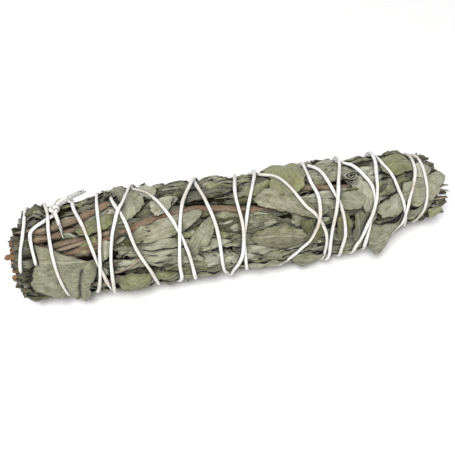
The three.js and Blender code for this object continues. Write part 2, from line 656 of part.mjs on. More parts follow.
const stems = allStems();
stems.forEach((stem, i) => {
  const earlier = stems.slice(0, i).map((other) => stemTube(other, GAP));
  const solid = carve(stemTube(stem), [windingRoom, ...looseRoom, ...earlier]);
  show("stem_" + two(i), solid, BARK, 0.85);
});
show("centre_stem", centreStem(CENTRE_STEM, -102, 62), BARK, 0.85);
const stemRooms = [...stems.map(stemRoom), centreStem(CENTRE_STEM + GAP, -104, 64)];

for (let k = 0; k < SPRIGS; k++) {
  const whole = join([sprigCore(k), ...sprigLeaves(k)]);
  const cleared = carve(largest(whole), [windingRoom, ...looseRoom, ...stemRooms]);
  show("sprig_" + two(k), trimmedFlat(cleared), SAGE, 0.9);
}

export default bunch;
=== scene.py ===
# %% [markdown]
# # A bunch of dried white sage
# Long felted leaves and woody stems are laid side by side, pressed into a roll and bound
# with one cotton string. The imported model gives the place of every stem, broad leaf, sprig
# and turn of string, and this scene gives them their real surface. Lengths are worked out
# in millimetres and go to Blender in metres.

# %% Tools and the fixed frame
from functools import partial
import math
import bpy
import numpy as np
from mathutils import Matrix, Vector


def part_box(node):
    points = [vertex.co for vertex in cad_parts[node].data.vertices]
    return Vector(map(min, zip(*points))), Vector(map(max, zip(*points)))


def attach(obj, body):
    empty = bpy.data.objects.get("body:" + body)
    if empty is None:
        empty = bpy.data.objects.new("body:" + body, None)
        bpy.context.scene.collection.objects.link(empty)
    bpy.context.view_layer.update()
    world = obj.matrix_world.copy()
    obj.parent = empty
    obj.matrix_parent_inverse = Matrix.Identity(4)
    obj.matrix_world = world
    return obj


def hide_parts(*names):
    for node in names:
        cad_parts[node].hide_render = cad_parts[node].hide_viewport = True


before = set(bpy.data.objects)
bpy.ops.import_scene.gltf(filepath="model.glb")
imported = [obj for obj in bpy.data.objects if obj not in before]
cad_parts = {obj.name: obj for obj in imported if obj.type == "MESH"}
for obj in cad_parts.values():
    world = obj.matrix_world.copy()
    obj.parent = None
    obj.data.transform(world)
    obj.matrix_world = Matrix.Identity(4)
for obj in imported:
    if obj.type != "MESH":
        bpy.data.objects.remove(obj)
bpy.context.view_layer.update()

# %% [markdown]
# ## The form that the string presses the bunch into
# Everything follows one surface, the skin: a radius for each place x along the bunch and
# each angle round it, 0 at the top and 90 at the front. A lathe would be too regular, so
# three low waves make it lumpy. Points given by x, angle and radius turn into space last.

# %% The skin
AXIS_HEIGHT = 22.9
MEAN_RADIUS = 23.0
MIDDLE = 1.3  # x, as listed below, of the middle of the bunch
DIPS = [(-67, 7, -58, 25, 3.2), (80, 14, -55, 25, 1.6)]  # x, half length, deg, half angle, depth
SWAY = (58, 92, 5.0)  # from one x to the other the leafy end bends back by this
OFF_FLOOR = 0.05  # mm that a point of the skin keeps from the surface that the bunch lies on
GIRTH = np.array([  # x and radius
    [-107, 18], [-97, 20.9], [-88, 22.4], [-75, 23.6], [-55, 24.8], [-15, 24.5],
    [20, 24.1], [55, 24.2], [75, 22.3], [88, 18.4], [98, 15.8], [108, 12.3],
])


def smooth(v, low, high):
    """0 below low, 1 above high, and 3t^2 - 2t^3 between."""
    t = np.clip((v - low) / (high - low), 0, 1)
    return t * t * (3 - 2 * t)


def turned(deg, middle):
    """Degrees from middle to deg, the short way round: between -180 and 180."""
    return np.mod(deg - middle + 180, 360) - 180


def arc(deg):
    """Length in mm of an angle on the unrolled skin: its radians times the mean radius."""
    return np.radians(deg) * MEAN_RADIUS


def bell(deg, middle, spread, most):
    """most times exp(-(angle from middle / spread)^2), the angle taken the short way round."""
    return most * np.exp(-((turned(deg, middle) / spread) ** 2))


def skin(x, deg):
    """Radius in mm: the girth at x plus sines of 2, 3 and 5 waves round, which drift along x,
    less two bell-shaped dips at the upper back."""
    a = np.radians(deg)
    lumps = 0.7 * np.sin(2 * a + x / 40 + 0.6) + 0.45 * np.sin(3 * a - x / 23 + 2)
    dips = sum(bell(deg, *dip[2:]) * np.exp(-(((x - dip[0]) / dip[1]) ** 2)) for dip in DIPS)
    return np.interp(x, GIRTH[:, 0], GIRTH[:, 1]) + lumps + 0.25 * np.sin(5 * a + x / 11) - dips


def place(x, deg, radius):
    """(x - middle, sway - r sin a, axis + r cos a), never below the surface that the bunch lies
    on. The sway bends the leafy end back."""
    a = np.radians(deg)
    y = SWAY[2] * smooth(x, SWAY[0], SWAY[1]) - radius * np.sin(a)
    z = AXIS_HEIGHT + radius * np.cos(a)
    return np.stack(np.broadcast_arrays(x - MIDDLE, y, np.maximum(z, OFF_FLOOR)), -1)


def radial(deg):
    """The direction out of the axis at each angle: (0, -sin, cos)."""
    return np.stack([np.zeros_like(deg), -np.sin(np.radians(deg)), np.cos(np.radians(deg))], 1)


print("radius at the middle, every 90 degrees:", np.round(skin(0.0, np.arange(0, 360, 90)), 1), "mm")

# %% [markdown]
# ## The string's way
# One string starts at the knot near the cut end, winds to the leafy end and comes back over
# itself. Each turn is a few pairs of degrees and x, read off the real one where it shows,
# and a smooth curve joins them.

# %% The string's way
STRING_RADIUS = 0.85
STRING_TURNS = [
    [(-18, -80), (-10, -85), (0, -90.5), (12, -91.5), (43, -90.5), (100, -90), (180, -92), (250, -94)],
    [(-20, -94), (7, -95), (25, -96.5), (53, -98), (100, -98), (180, -95), (250, -90)],
    [(-22, -83), (6, -83), (50, -82), (90, -80), (120, -79), (180, -77), (250, -74)],
    [(-25, -71), (10, -67), (50, -63), (94, -59), (180, -57), (250, -56)],
    [(-25, -53), (10, -48), (40, -45), (76, -39), (120, -37), (180, -39), (250, -42)],
    [(-48, -43), (-24, -36), (0, -30), (26, -25), (60, -21), (116, -19), (180, -17), (250, -15)],
    [(-32, -13), (0, -10), (33, -7), (98, -5), (140, 2), (180, 5.5), (250, 12)],
    [(-42, 17), (-24, 24), (0, 30), (22, 35), (36, 40), (62, 44), (96, 44), (180, 42), (250, 40)],
    [(-47, 41), (-21, 46), (6, 49), (33, 52), (65, 53), (98, 52), (180, 54), (250, 56)],
    [(-34, 58), (-26, 62), (-4, 66), (14, 68.5), (34, 68.5), (49, 66), (98, 64), (180, 69), (250, 73)],
    [(-17, 77), (6, 80), (28, 82), (50, 84), (73, 85), (112, 87), (180, 91), (250, 95)],
    [(-22, 97), (38, 97.5), (84, 95), (116, 93), (180, 93), (250, 93)],
    [(-2, 93), (30, 90), (49, 87), (68, 84.5), (83, 83), (104, 80), (180, 78), (250, 76)],
    [(-25, 74), (1, 72), (23, 70), (43, 67), (55, 64), (76, 61), (95, 59), (180, 58), (250, 58)],
    [(-36, 57), (0, 53), (34, 49), (64, 46), (106, 46), (180, 44), (250, 42)],
    [(-47, 40), (-6, 40), (15, 42), (37, 41), (66, 36), (81, 31), (116, 23), (180, 20), (250, 18)],
    [(-42, 16), (-12, 13), (21, 8), (51, 5), (110, 6), (180, 10), (250, 9)],
    [(-35, 6), (0, 4), (37, 5), (63, 4), (81, 2), (103, -1), (180, -5.5), (250, -9)],
    [(-44, -13), (-17, -18), (0, -21), (31, -24), (67, -26), (101, -26), (180, -33), (250, -39)],
    [(-50, -44), (-15, -48), (0, -51), (20, -54), (40, -56), (58, -57), (103, -58), (180, -59), (250, -60)],
    [(-31, -60), (21, -60), (38, -61), (56, -62), (108, -66), (180, -70), (250, -74), (315, -79),
     (338, -80.4)],
]
marks = np.array([(deg + 360 * n, x) for n, turn in enumerate(STRING_TURNS) for deg, x in turn], float)


def string_way(step):
    """Degrees and x every step degrees: on each stretch between two marks a cubic with the
    marks' own slopes, which are those of the line from the mark before to the mark after."""
    d, v = marks.T
    slope = np.empty_like(v)
    slope[1:-1] = (v[2:] - v[:-2]) / (d[2:] - d[:-2])
    slope[0], slope[-1] = (v[1] - v[0]) / (d[1] - d[0]), (v[-1] - v[-2]) / (d[-1] - d[-2])
    deg = np.arange(d[0], d[-1], step)
    k = np.clip(np.searchsorted(d, deg, side="right") - 1, 0, len(d) - 2)
    span = d[k + 1] - d[k]
    t = (deg - d[k]) / span
    x = (
        (2 * t**3 - 3 * t**2 + 1) * v[k] + (t**3 - 2 * t**2 + t) * span * slope[k]
        + (3 * t**2 - 2 * t**3) * v[k + 1] + (t**3 - t**2) * span * slope[k + 1]
    )
    return deg, x


BURIED = [(41, 135), (360 + 49, 360 + 135)]  # on the first two turns, in degrees along the string
GOES_UNDER = 9  # degrees that it takes to go under


def buried(deg):
    """1 where the string runs under the leaves of the cut end and 0 elsewhere, smooth between."""
    gone = [smooth(deg, low, low + GOES_UNDER) for low, _ in BURIED]
    back = [smooth(deg, high - GOES_UNDER, high) for _, high in BURIED]
    return sum(down - up for down, up in zip(gone, back))


WAY_STEP = 2.0
way_deg, way_x = string_way(WAY_STEP)
way_mm = np.hypot(np.diff(way_x), np.diff(arc(way_deg))).sum()
print(len(STRING_TURNS), "turns,", round(way_mm / 1000, 2), "m of string on the unrolled skin")

# %% [markdown]
# ## Where the string presses
# The tight string sinks into the leaves, and a crumpled leaf lies flat under it. That takes
# the distance to the nearest turn at half a million points. Measuring each would be slow, so the
# distance is worked out once on a grid laid over the skin and read off between its points.

# %% Where the string presses
MAP_STEP_X, MAP_STEP_DEG = 0.5, 2.0  # mm and degrees from one place of the map to the next
MAP_X = np.arange(-114, 114.5, MAP_STEP_X)
MAP_DEG = np.arange(0, 360, MAP_STEP_DEG)
MAP_REACH = 8.0  # mm, the greatest distance that the map tells


def press_map():
    """Least distance over the unrolled skin, in mm, from each place of a grid to the string where
    it lies on top. Each point of the string looks only at the places within the map's reach."""
    least = np.full((len(MAP_X), len(MAP_DEG)), MAP_REACH)
    over = buried(way_deg) < 0.5
    xs, degs = way_x[over], way_deg[over]
    i0 = np.round((xs - MAP_X[0]) / MAP_STEP_X).astype(int)[:, None, None]
    j0 = np.round(degs / MAP_STEP_DEG).astype(int)[:, None, None]
    far_i, far_j = int(MAP_REACH / MAP_STEP_X) + 1, math.ceil(MAP_REACH / arc(MAP_STEP_DEG))
    di = np.arange(-far_i, far_i + 1)[None, :, None]
    dj = np.arange(-far_j, far_j + 1)[None, None, :]
    i = np.clip(i0 + di, 0, len(MAP_X) - 1)
    dx = MAP_X[i] - xs[:, None, None]
    dy = arc((j0 + dj) * MAP_STEP_DEG - degs[:, None, None])
    i, j, gap = np.broadcast_arrays(i, (j0 + dj) % len(MAP_DEG), np.hypot(dx, dy))
    np.minimum.at(least, (i.ravel(), j.ravel()), gap.ravel())
    return least


STRING_NEAR = press_map()


def to_string(x, deg):
    """The map's value at any place, by straight-line mixing of its four nearest points."""
    u = np.clip((x - MAP_X[0]) / MAP_STEP_X, 0, len(MAP_X) - 1.001)
    v = np.mod(deg, 360) / MAP_STEP_DEG
    i, j = u.astype(int), v.astype(int) % len(MAP_DEG)
    fu, fv, n = u - i, v - np.floor(v), (j + 1) % len(MAP_DEG)
    m = STRING_NEAR
    return (m[i, j] * (1 - fu) + m[i + 1, j] * fu) * (1 - fv) + (m[i, n] * (1 - fu) + m[i + 1, n] * fu) * fv


DENT = 1.2  # how deep the tight string sinks the leaves, in mm
DENT_REACH = (0.7, 5.5)  # mm from the string's middle, where the dent is whole and where it ends


def pressed_skin(x, deg, deep=DENT):
    """The skin less a smooth dent along the string."""
    return skin(x, deg) - deep * (1 - smooth(to_string(x, deg), *DENT_REACH))


def freedom(x, deg, held, loose):
    """How freely a leaf crumples: 0.15 within held mm of the string, which holds it down, rising
    smoothly to 1 at loose mm."""
    return 1 - 0.85 * (1 - smooth(to_string(x, deg), held, loose))


print(round(100 * float((STRING_NEAR < DENT_REACH[1]).mean())), "% of the skin is dented")

# %% [markdown]
# ## Tools for meshes and materials
# A surface here is a grid of points worked out as one array, and these helpers put such
# arrays into a mesh, give the mesh a material and hang the piece on the frame.

# %% Mesh helper
def piece(
    name, points_mm, faces, materials, uv=None, tone=None, rim=None, face_material=None,
    nodes=(),
):
    """Points (n, 3) and a list of face arrays (m, corners) become one smooth object at the
    origin. uv, tone and rim hold one value a point and follow the surface. The object takes the
    place of the CAD nodes that nodes names."""
    mesh = bpy.data.meshes.new(name)
    points = np.asarray(points_mm, np.float32).reshape(-1, 3) / 1000
    loops = np.concatenate([f.ravel() for f in faces]).astype(np.int32)
    sizes = np.concatenate([np.full(len(f), f.shape[1]) for f in faces])
    starts = np.concatenate([[0], np.cumsum(sizes)[:-1]]).astype(np.int32)
    mesh.vertices.add(len(points))
    mesh.vertices.foreach_set("co", points.ravel())
    mesh.loops.add(len(loops))
    mesh.loops.foreach_set("vertex_index", loops)
    mesh.polygons.add(len(starts))
    mesh.polygons.foreach_set("loop_start", starts)
    if uv is not None:
        layer = mesh.uv_layers.new(name="surface")
        layer.data.foreach_set("uv", np.asarray(uv, np.float32).reshape(-1, 2)[loops].ravel())
    for key, values in (("tone", tone), ("rim", rim)):
        if values is not None:
            layer = mesh.attributes.new(key, "FLOAT", "POINT")
            layer.data.foreach_set("value", np.asarray(values, np.float32).ravel())
    for material in materials:
        mesh.materials.append(material)
    if face_material is not None:
        mesh.polygons.foreach_set("material_index", np.asarray(face_material, np.int32))
    mesh.polygons.foreach_set("use_smooth", np.ones(len(starts), bool))
    mesh.update(calc_edges=True)
    obj = bpy.data.objects.new(name, mesh)
    bpy.context.scene.collection.objects.link(obj)
    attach(obj, "root")
    if nodes:
        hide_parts(*nodes)
    return obj


# %% Colour and node helpers
def linear(colour):
    """An sRGB hex value as linear RGBA: c / 12.92 when dark, else ((c + 0.055) / 1.055) ^ 2.4."""
    c = np.array([int(colour[i : i + 2], 16) for i in (0, 2, 4)]) / 255
    return (*np.where(c <= 0.04045, c / 12.92, ((c + 0.055) / 1.055) ** 2.4).tolist(), 1.0)


SUM = {"operation": "MULTIPLY_ADD"}  # settings: input 0 times input 1, plus input 2
EASED = {"interpolation_type": "SMOOTHSTEP"}
BLEND = {"data_type": "RGBA"}


def add(tree, kind, inputs=None, settings=None, stops=(), out=0):
    """Adds a node, feeds each input from a value or another socket, gives a colour ramp its
    (position, hex) stops, and returns the output socket that out names."""
    made = tree.nodes.new("ShaderNode" + kind)
    for key, value in (settings or {}).items():
        setattr(made, key, value)
    for key, value in (inputs or {}).items():
        if isinstance(value, bpy.types.NodeSocket):
            tree.links.new(value, made.inputs[key])
        else:
            made.inputs[key].default_value = value
    for i, (position, colour) in enumerate(stops):
        ramp = made.color_ramp.elements
        element = ramp[i] if i < len(ramp) else ramp.new(position)
        element.position, element.color = position, linear(colour)
    return made.outputs[out] if len(made.outputs) else None


def material(name, roughness, specular, sheen=0.0):
    """A node material with its shader's constants set on the shader's own sockets."""
    made = bpy.data.materials.new(name)
    made.use_nodes = True
    tree = made.node_tree
    tree.nodes.clear()
    shader = add(tree, "BsdfPrincipled").node
    add(tree, "OutputMaterial", {"Surface": shader.outputs["BSDF"]})
    shader.inputs["Roughness"].default_value = roughness
    shader.inputs["Specular IOR Level"].default_value = specular
    shader.inputs["Sheen Weight"].default_value = sheen
    shader.inputs["Sheen Roughness"].default_value = 0.45
    return made, tree, shader


def finish_surface(tree, shader, colour, relief, depth_mm, crevice=0.004):
    """Joins colour and relief to the shader, with painted shade: what lies deep between other
    pieces is darkened, the colour being multiplied by how open each place is within the crevice size."""
    # painted shade: the ambient-occlusion value darkens the colour in crevices and between pieces
    opened = add(tree, "AmbientOcclusion", {"Distance": crevice}, {"samples": 6}, out="AO")
    kept = {"Value": opened, "From Min": 0.34, "From Max": 0.92, "To Min": 0.05, "To Max": 1.0}
    shade_blend = {"Factor": 1.0, "A": colour, "B": add(tree, "MapRange", kept)}
    painted_shade = add(tree, "Mix", shade_blend, {**BLEND, "blend_type": "MULTIPLY"}, out="Result")
    bump = add(tree, "Bump", {"Strength": 0.8, "Distance": depth_mm / 1000, "Height": relief})
    tree.links.new(painted_shade, shader.inputs["Base Color"])
    tree.links.new(bump, shader.inputs["Normal"])


print("half bright in sRGB is", round(linear("808080")[0], 3), "in linear light")

# %% [markdown]
# ## Dried white-sage leaf
# A white-sage leaf is covered in short pale hairs, so it looks like grey-green felt: no
# gloss, a soft rim of light, and a pale net of veins that stands out on its back. Age turns
# some leaves olive and brown. A flat colour or a photo would not do, so each leaf carries
# its own tone, and its veins follow its own length and width.

# %% Leaf material
def leaf_patterns(tree, here, surface):
    """Blotches, felt, crumples and streaks: four noises, each at its own size."""
    # blotches about 6 mm across, where the hairs are rubbed off
    blotch = add(tree, "TexNoise", {"Vector": here, "Scale": 170, "Detail": 4, "Roughness": 0.62})
    # felt: tufts of hair, drawn 0.7 mm coarse so that they show
    felt = add(tree, "TexNoise", {"Vector": here, "Scale": 1400, "Detail": 2})
    # crumples of drying, 2 to 3 mm apart
    crumple = add(tree, "TexNoise", {"Vector": here, "Scale": 400, "Detail": 3, "Distortion": 1.3})
    # parallel fibres: streaks along the blade, about 1 mm apart
    along = add(tree, "Mapping", {"Vector": surface, "Scale": (1.3, 6.5, 1)})
    streak = add(tree, "TexNoise", {"Vector": along, "Scale": 1.0, "Detail": 3, "Distortion": 0.4})
    return blotch, felt, crumple, streak


def leaf_veins(tree, surface, blotch):
    """1 on the midrib, 0.5 on the side veins and 0 between. The side veins are a zigzag of u
    every 4 mm, less 1.3 times the distance from the midrib, so that they lean to the tip."""
    axes = add(tree, "SeparateXYZ", {0: surface}).node
    across = add(tree, "Math", {0: axes.outputs[1]}, {"operation": "ABSOLUTE"})
    lean = add(tree, "Math", {0: axes.outputs[0], 1: 2.5, 2: 0.0}, SUM)
    bowed = add(tree, "Math", {0: across, 1: -1.3, 2: lean}, SUM)
    wander = add(tree, "Math", {0: blotch, 1: 2.1, 2: bowed}, SUM)
    comb = add(tree, "Math", {0: wander, 1: 0.5}, {"operation": "PINGPONG"})
    narrow = {"Value": comb, "From Min": 0.0, "From Max": 0.11, "To Min": 0.5, "To Max": 0.0}
    middle_line = {"Value": across, "From Min": 0.02, "From Max": 0.12, "To Min": 1.0, "To Max": 0.0}
    side, rib = add(tree, "MapRange", narrow, EASED), add(tree, "MapRange", middle_line, EASED)
    return add(tree, "Math", {0: side, 1: rib}, {"operation": "MAXIMUM"})


def leaf_material(name, dark, middle, pale, vein, vein_strength):
    """Felted leaf: three shades by the blade's tone and the patterns, then veins, margin and
    specks over them. The surface map's u is tens of mm along the blade and v -1 to 1 across."""
    made, tree, shader = material(name, roughness=0.88, specular=0.18, sheen=0.2)
    tone = add(tree, "Attribute", settings={"attribute_name": "tone"}, out="Fac")
    rim = add(tree, "Attribute", settings={"attribute_name": "rim"}, out="Fac")
    here = add(tree, "TexCoord", out="Object")
    surface = add(tree, "UVMap", settings={"uv_map": "surface"})
    blotch, felt, crumple, streak = leaf_patterns(tree, here, surface)
    level = add(tree, "Math", {0: blotch, 1: 0.9, 2: -0.82}, SUM)
    level = add(tree, "Math", {0: felt, 1: 0.25, 2: level}, SUM)
    level = add(tree, "Math", {0: streak, 1: 0.7, 2: level}, SUM)
    level = add(tree, "Math", {0: crumple, 1: -0.1, 2: level}, SUM)
    level = add(tree, "Math", {0: tone, 1: level}, {"operation": "ADD", "use_clamp": True})
    ground = add(tree, "ValToRGB", {0: level}, stops=[(0.0, dark), (0.5, middle), (1.0, pale)])
    veins = leaf_veins(tree, surface, blotch)
    share = add(tree, "Math", {0: veins, 1: vein_strength}, {"operation": "MULTIPLY"})
    veined = add(tree, "Mix", {"Factor": share, "A": ground, "B": linear(vein)}, BLEND, out="Result")
    # the thin margin dries brown first, in places
    reached = add(tree, "Math", {0: blotch, 1: 0.12, 2: rim}, SUM)
    thin = {"Value": reached, "From Min": 1.0, "From Max": 1.08, "To Min": 0.0, "To Max": 0.5}
    edge = add(tree, "MapRange", thin, EASED)
    margined = add(tree, "Mix", {"Factor": edge, "A": veined, "B": linear("6f6446")}, BLEND, out="Result")
    # small dark specks, one in a 9 mm cell
    cell = add(tree, "TexVoronoi", {"Vector": here, "Scale": 110})
    dot = {"Value": cell, "From Min": 0.03, "From Max": 0.06, "To Min": 0.8, "To Max": 0.0}
    speck = add(tree, "MapRange", dot, EASED)
    colour = add(tree, "Mix", {"Factor": speck, "A": margined, "B": linear("2b2014")}, BLEND, out="Result")
    relief = add(tree, "Math", {0: veins, 1: 0.7, 2: felt}, SUM)
    relief = add(tree, "Math", {0: crumple, 1: 2.0, 2: relief}, SUM)
    relief = add(tree, "Math", {0: streak, 1: 2.2, 2: relief}, SUM)
    finish_surface(tree, shader, colour, relief, depth_mm=0.7)
    return made


SAGE = leaf_material("felted_sage_leaf", "241f12", "868569", "cbcab3", "c0bfab", 0.3)
PALE_SAGE = leaf_material("silvery_sage_leaf", "50503a", "9e9e84", "d2d2bd", "cbc7af", 0.42)
OLIVE_SAGE = leaf_material("green_sage_leaf", "2d2d16", "7e7f58", "aaac82", "a4a484", 0.35)
print("a leaf material has", len(SAGE.node_tree.nodes), "nodes")

# %% Shadowed core material
# crushed leaves deep inside, matt crumbs 2.4 mm across, painted near-black as shade so that gaps read as
# depth
CORE, core_tree, core_shader = material("shade_dark_inner_foliage", roughness=0.95, specular=0.1)
core_here = add(core_tree, "TexCoord", out="Object")
core_noise = add(core_tree, "TexNoise", {"Vector": core_here, "Scale": 420, "Detail": 5})
core_colour = add(core_tree, "ValToRGB", {0: core_noise}, stops=[(0.3, "15110a"), (0.7, "3a3520")])
finish_surface(core_tree, core_shader, core_colour, core_noise, depth_mm=1.0)
print(CORE.name, "has", len(core_tree.nodes), "nodes")

# %% [markdown]
# ## Bark and cut wood
# White-sage stems are woody and nearly square, with a thin grey-pink bark that wrinkles as it
# dries and is rust-red where it is whole. They were cut with shears, so their ends show pale
# wood round a darker pith. The streaks run along each stem, so both finishes read its own
# surface map.

# %% Bark and cut wood
def bark_material():
    """Matt bark with fine streaks along the stem: noise stretched to 6 mm along it and squeezed
    to 0.3 mm round it, in four greys from cracks to worn ribs, with rust-red patches."""
    made, tree, shader = material("dry_sage_bark", roughness=0.74, specular=0.25)
    surface = add(tree, "UVMap", settings={"uv_map": "surface"})
    tone = add(tree, "Attribute", settings={"attribute_name": "tone"}, out="Fac")
    here = add(tree, "TexCoord", out="Object")
    # grain of the bark, 0.9 mm coarse so that it shows
    grain = add(tree, "TexNoise", {"Vector": here, "Scale": 1100, "Detail": 2})
    stretched = add(tree, "Mapping", {"Vector": surface, "Scale": (1.1, 13, 1)})
    streak = add(tree, "TexNoise", {"Vector": stretched, "Scale": 1.6, "Detail": 5, "Roughness": 0.65})
    level = add(tree, "Math", {0: streak, 1: 1.5, 2: tone}, SUM)
    level = add(tree, "Math", {0: grain, 1: 0.3, 2: level}, SUM)
    shades = [(0.5, "32241a"), (0.75, "76634f"), (1.0, "9c8b75"), (1.25, "c3b7a3")]
    fit = 0.7  # a ramp ends at 1, so the level and its shades are both brought below that
    level = add(tree, "Math", {0: level, 1: fit}, {"operation": "MULTIPLY"})
    grey = add(tree, "ValToRGB", {0: level}, stops=[(fit * at, colour) for at, colour in shades])
    # rust-red patches about 11 mm long, where the bark is whole
    whole = add(tree, "TexNoise", {"Vector": surface, "Scale": 0.9, "Detail": 1})
    patch = {"Value": whole, "From Min": 0.54, "From Max": 0.7, "To Min": 0.0, "To Max": 0.5}
    red = add(tree, "MapRange", patch, EASED)
    colour = add(tree, "Mix", {"Factor": red, "A": grey, "B": linear("8a5234")}, BLEND, out="Result")
    finish_surface(tree, shader, colour, streak, depth_mm=0.5)
    return made


def cut_wood_material():
    """Dry, pale wood, matt where the shears went through it: four shades by the surface map's v,
    which is the distance from the pith, with fibres drawn 0.8 mm coarse so that they show."""
    made, tree, shader = material("cut_sage_wood", roughness=0.85, specular=0.2)
    surface = add(tree, "UVMap", settings={"uv_map": "surface"})
    out = add(tree, "SeparateXYZ", {0: surface}).node.outputs[1]
    here = add(tree, "TexCoord", out="Object")
    fibre = add(tree, "TexNoise", {"Vector": here, "Scale": 1300, "Detail": 3})
    level = add(tree, "Math", {0: fibre, 1: 0.5, 2: out}, SUM)
    rings = [(0.3, "7b6048"), (0.5, "bfa580"), (0.9, "a98a62"), (1.2, "80654a")]
    colour = add(tree, "ValToRGB", {0: level}, stops=rings)
    finish_surface(tree, shader, colour, fibre, depth_mm=0.3)
    return made


BARK, CUT_WOOD = bark_material(), cut_wood_material()
print(len(bpy.data.materials), "materials so far")

# %% [markdown]
# ## Leaf blades
# A dried blade is a long strip that curls across its width, folds at its midrib and crumples
# along its margins. It is a surface of two parameters: t from foot to tip and s from margin
# to margin. Its middle line is drawn on the unrolled skin, and its height over the skin is
# added last, so that every blade hugs the bunch and dips under the string.

# %% Broad leaves laid over the sprigs
BROAD_LEAVES = [
    # x, deg, heading, length, width, bend, material, tone, outline of (x, deg) where one is
    # traced, and the direction in which its lip stands up; headings and directions in degrees
    # on the unrolled skin, 0 towards the tips and 90 down the front
    (-78, 66, 70, 36, 24, 0, PALE_SAGE, 0.33,
     [(-89.3, 21), (-77, 37), (-63, 49), (-65, 68), (-67.5, 74), (-69, 90), (-69, 104),
      (-74, 124), (-83, 104), (-94, 82), (-93.5, 62), (-91.6, 51), (-88.6, 42)], -60),
    (-60, 8, -22, 25, 7, 0, OLIVE_SAGE, 0.6,
     [(-70.5, 13), (-67, 6), (-59, 1), (-50, -2), (-47.5, 2), (-51, 9), (-58, 16), (-65.5, 20),
      (-69.5, 19)], 200),
    (-48, -34, 70, 24, 11, 0, SAGE, 0.5,
     [(-58, -58), (-50, -58), (-43, -42), (-40, -22), (-41, -1), (-47, -6), (-50, -22),
      (-55, -40)], 160),
    (-44, -3, 80, 13, 9, 0, PALE_SAGE, 0.5,
     [(-49, -14), (-39, -16), (-38, -4), (-42, 6), (-48, 9), (-51, -2)], 20),
    (-30, 24, -12, 36, 10, -10, SAGE, 0.6, None, 0),
    (-15, 42, -52, 22, 9, 0, PALE_SAGE, 0.35, None, 0),
    (30, -24, 84, 28, 17, 0, OLIVE_SAGE, 0.65,
     [(20, -56), (32, -50), (40, -34), (38, -12), (35, 5), (26, 9), (20, 4), (22, -20)], -20),
    (27, 20, 30, 30, 13, 0, SAGE, 0.55,
     [(12, 6), (20, -1), (30, 8), (38, 22), (41, 40), (32, 32), (22, 24), (13, 15)], 100),
    (24, 53, 8, 24, 10, 0, SAGE, 0.4,
     [(12, 42), (24, 40), (32, 48), (36, 62), (25, 66), (13, 61), (8, 50)], 90),
    (38, 55, 80, 14, 8, 0, OLIVE_SAGE, 0.2,
     [(32, 38), (40, 40), (43, 50), (40, 64), (35, 72), (33, 55)], 0),
    (57, 25, 10, 12, 8, 0, PALE_SAGE, 0.4, [(51, 16), (59, 15), (64, 23), (61, 34), (53, 33)], 180),
    (66, 18, 72, 34, 10, 75, SAGE, 0.75, None, 0),
    (77, 44, -18, 16, 12, 0, PALE_SAGE, 0.5,
     [(68, 40), (76, 33), (85, 32), (86, 47), (82, 61), (72, 55)], 200),
    (84, -6, 6, 15, 11, 0, OLIVE_SAGE, 0.6,
     [(75, -2), (77, -22), (86, -31), (94, -16), (92, 2), (84, 9)], 90),
    (95, 32, -10, 24, 18, 0, PALE_SAGE, 0.5,
     [(84, 23), (93, 17), (106, 4), (108, 22), (104, 42), (98, 60), (86, 55)], 80),
    (82, 83, -14, 32, 14, 0, PALE_SAGE, 0.3,
     [(64, 59), (80, 66), (99, 61), (97, 82), (84, 88), (76, 98), (71, 114), (65, 91)], -90),
    (-60, 232, 18, 46, 19, 10, PALE_SAGE, 0.5, None, 0),
    (-18, 268, -28, 44, 18, -12, SAGE, 0.5, None, 0),
    (36, 236, 24, 48, 18, 8, PALE_SAGE, 0.45, None, 0),
    (74, 282, -20, 40, 17, 0, SAGE, 0.55, None, 0),
    (2, 122, 12, 42, 16, 10, SAGE, 0.5, None, 0),
    (31, 180, 6, 18.5, 15, 0, SAGE, 0.5, None, 0),
]
SMALL_LEAVES = [
    # x, deg, heading, width, material, tone, outline of (x, deg), lip direction
    (53, 53, 80, 9, OLIVE_SAGE, 0.35, [(49.5, 43), (53, 33), (56, 48), (55, 71), (52, 74), (49, 64)], 0),
    (-30.5, -1, -50, 9, SAGE, 0.72,
     [(-35.5, -7), (-30.5, -13), (-24.5, -9), (-26.5, 3), (-33, 11), (-35.5, 4)], 30),
    (-37, -28, -10, 12, PALE_SAGE, 0.62,
     [(-43, -45), (-36.5, -41), (-31.5, -24), (-35, -12), (-40.5, -19)], 40),
    (-58.5, 38, 70, 7, SAGE, 0.7,
     [(-61.5, 33), (-57.5, 28), (-55, 35), (-57, 45), (-60.5, 51), (-61.5, 43)], 0),
    (-47, 85, 10, 16, OLIVE_SAGE, 0.5,
     [(-53.5, 66), (-46.5, 64), (-39.5, 76), (-42, 100), (-51, 104), (-55, 82)], -90),
    (97, 0, 60, 10, PALE_SAGE, 0.85, [(93, -12), (98, -15), (101, 1), (98, 15), (92, 12)], 0),
    (97.5, -24, 20, 6, OLIVE_SAGE, 0.05, [(94, -30), (99, -31), (100, -22), (97, -16), (93, -20)], 0),
    (60, 64, 80, 12, SAGE, 0.3, [(58, 38), (65, 44), (64, 68), (60, 84), (56, 66)], 180),
    (104, 95, 20, 8, OLIVE_SAGE, 0.75, [(98, 76), (105, 82), (107, 100), (105, 112), (100, 108)], 0),
]
print(len(BROAD_LEAVES), "broad leaves and", len(SMALL_LEAVES), "small ones")

# %% What only some leaves have
MIDRIBS = {1: (-78, 44, 178)}  # x, deg and heading of a midrib that isn't down the leaf's middle
FOLDS = {1: [  # height in mm over the leaf and the points (x, deg) of a ridge, or valley below 0
    (-1.7, [(-69.5, 54), (-71, 63), (-73, 80), (-74.5, 113)]),
    (0.8, [(-67.8, 54), (-69.3, 63), (-71.2, 80), (-72.8, 113)]),
    (0.9, [(-79.2, 42), (-80.2, 62), (-77, 92)]),
]}
CORNERS = {1: (-75, 120, 2.2), 16: (72, 112, 4.0)}  # x, deg and height of a corner that stands off


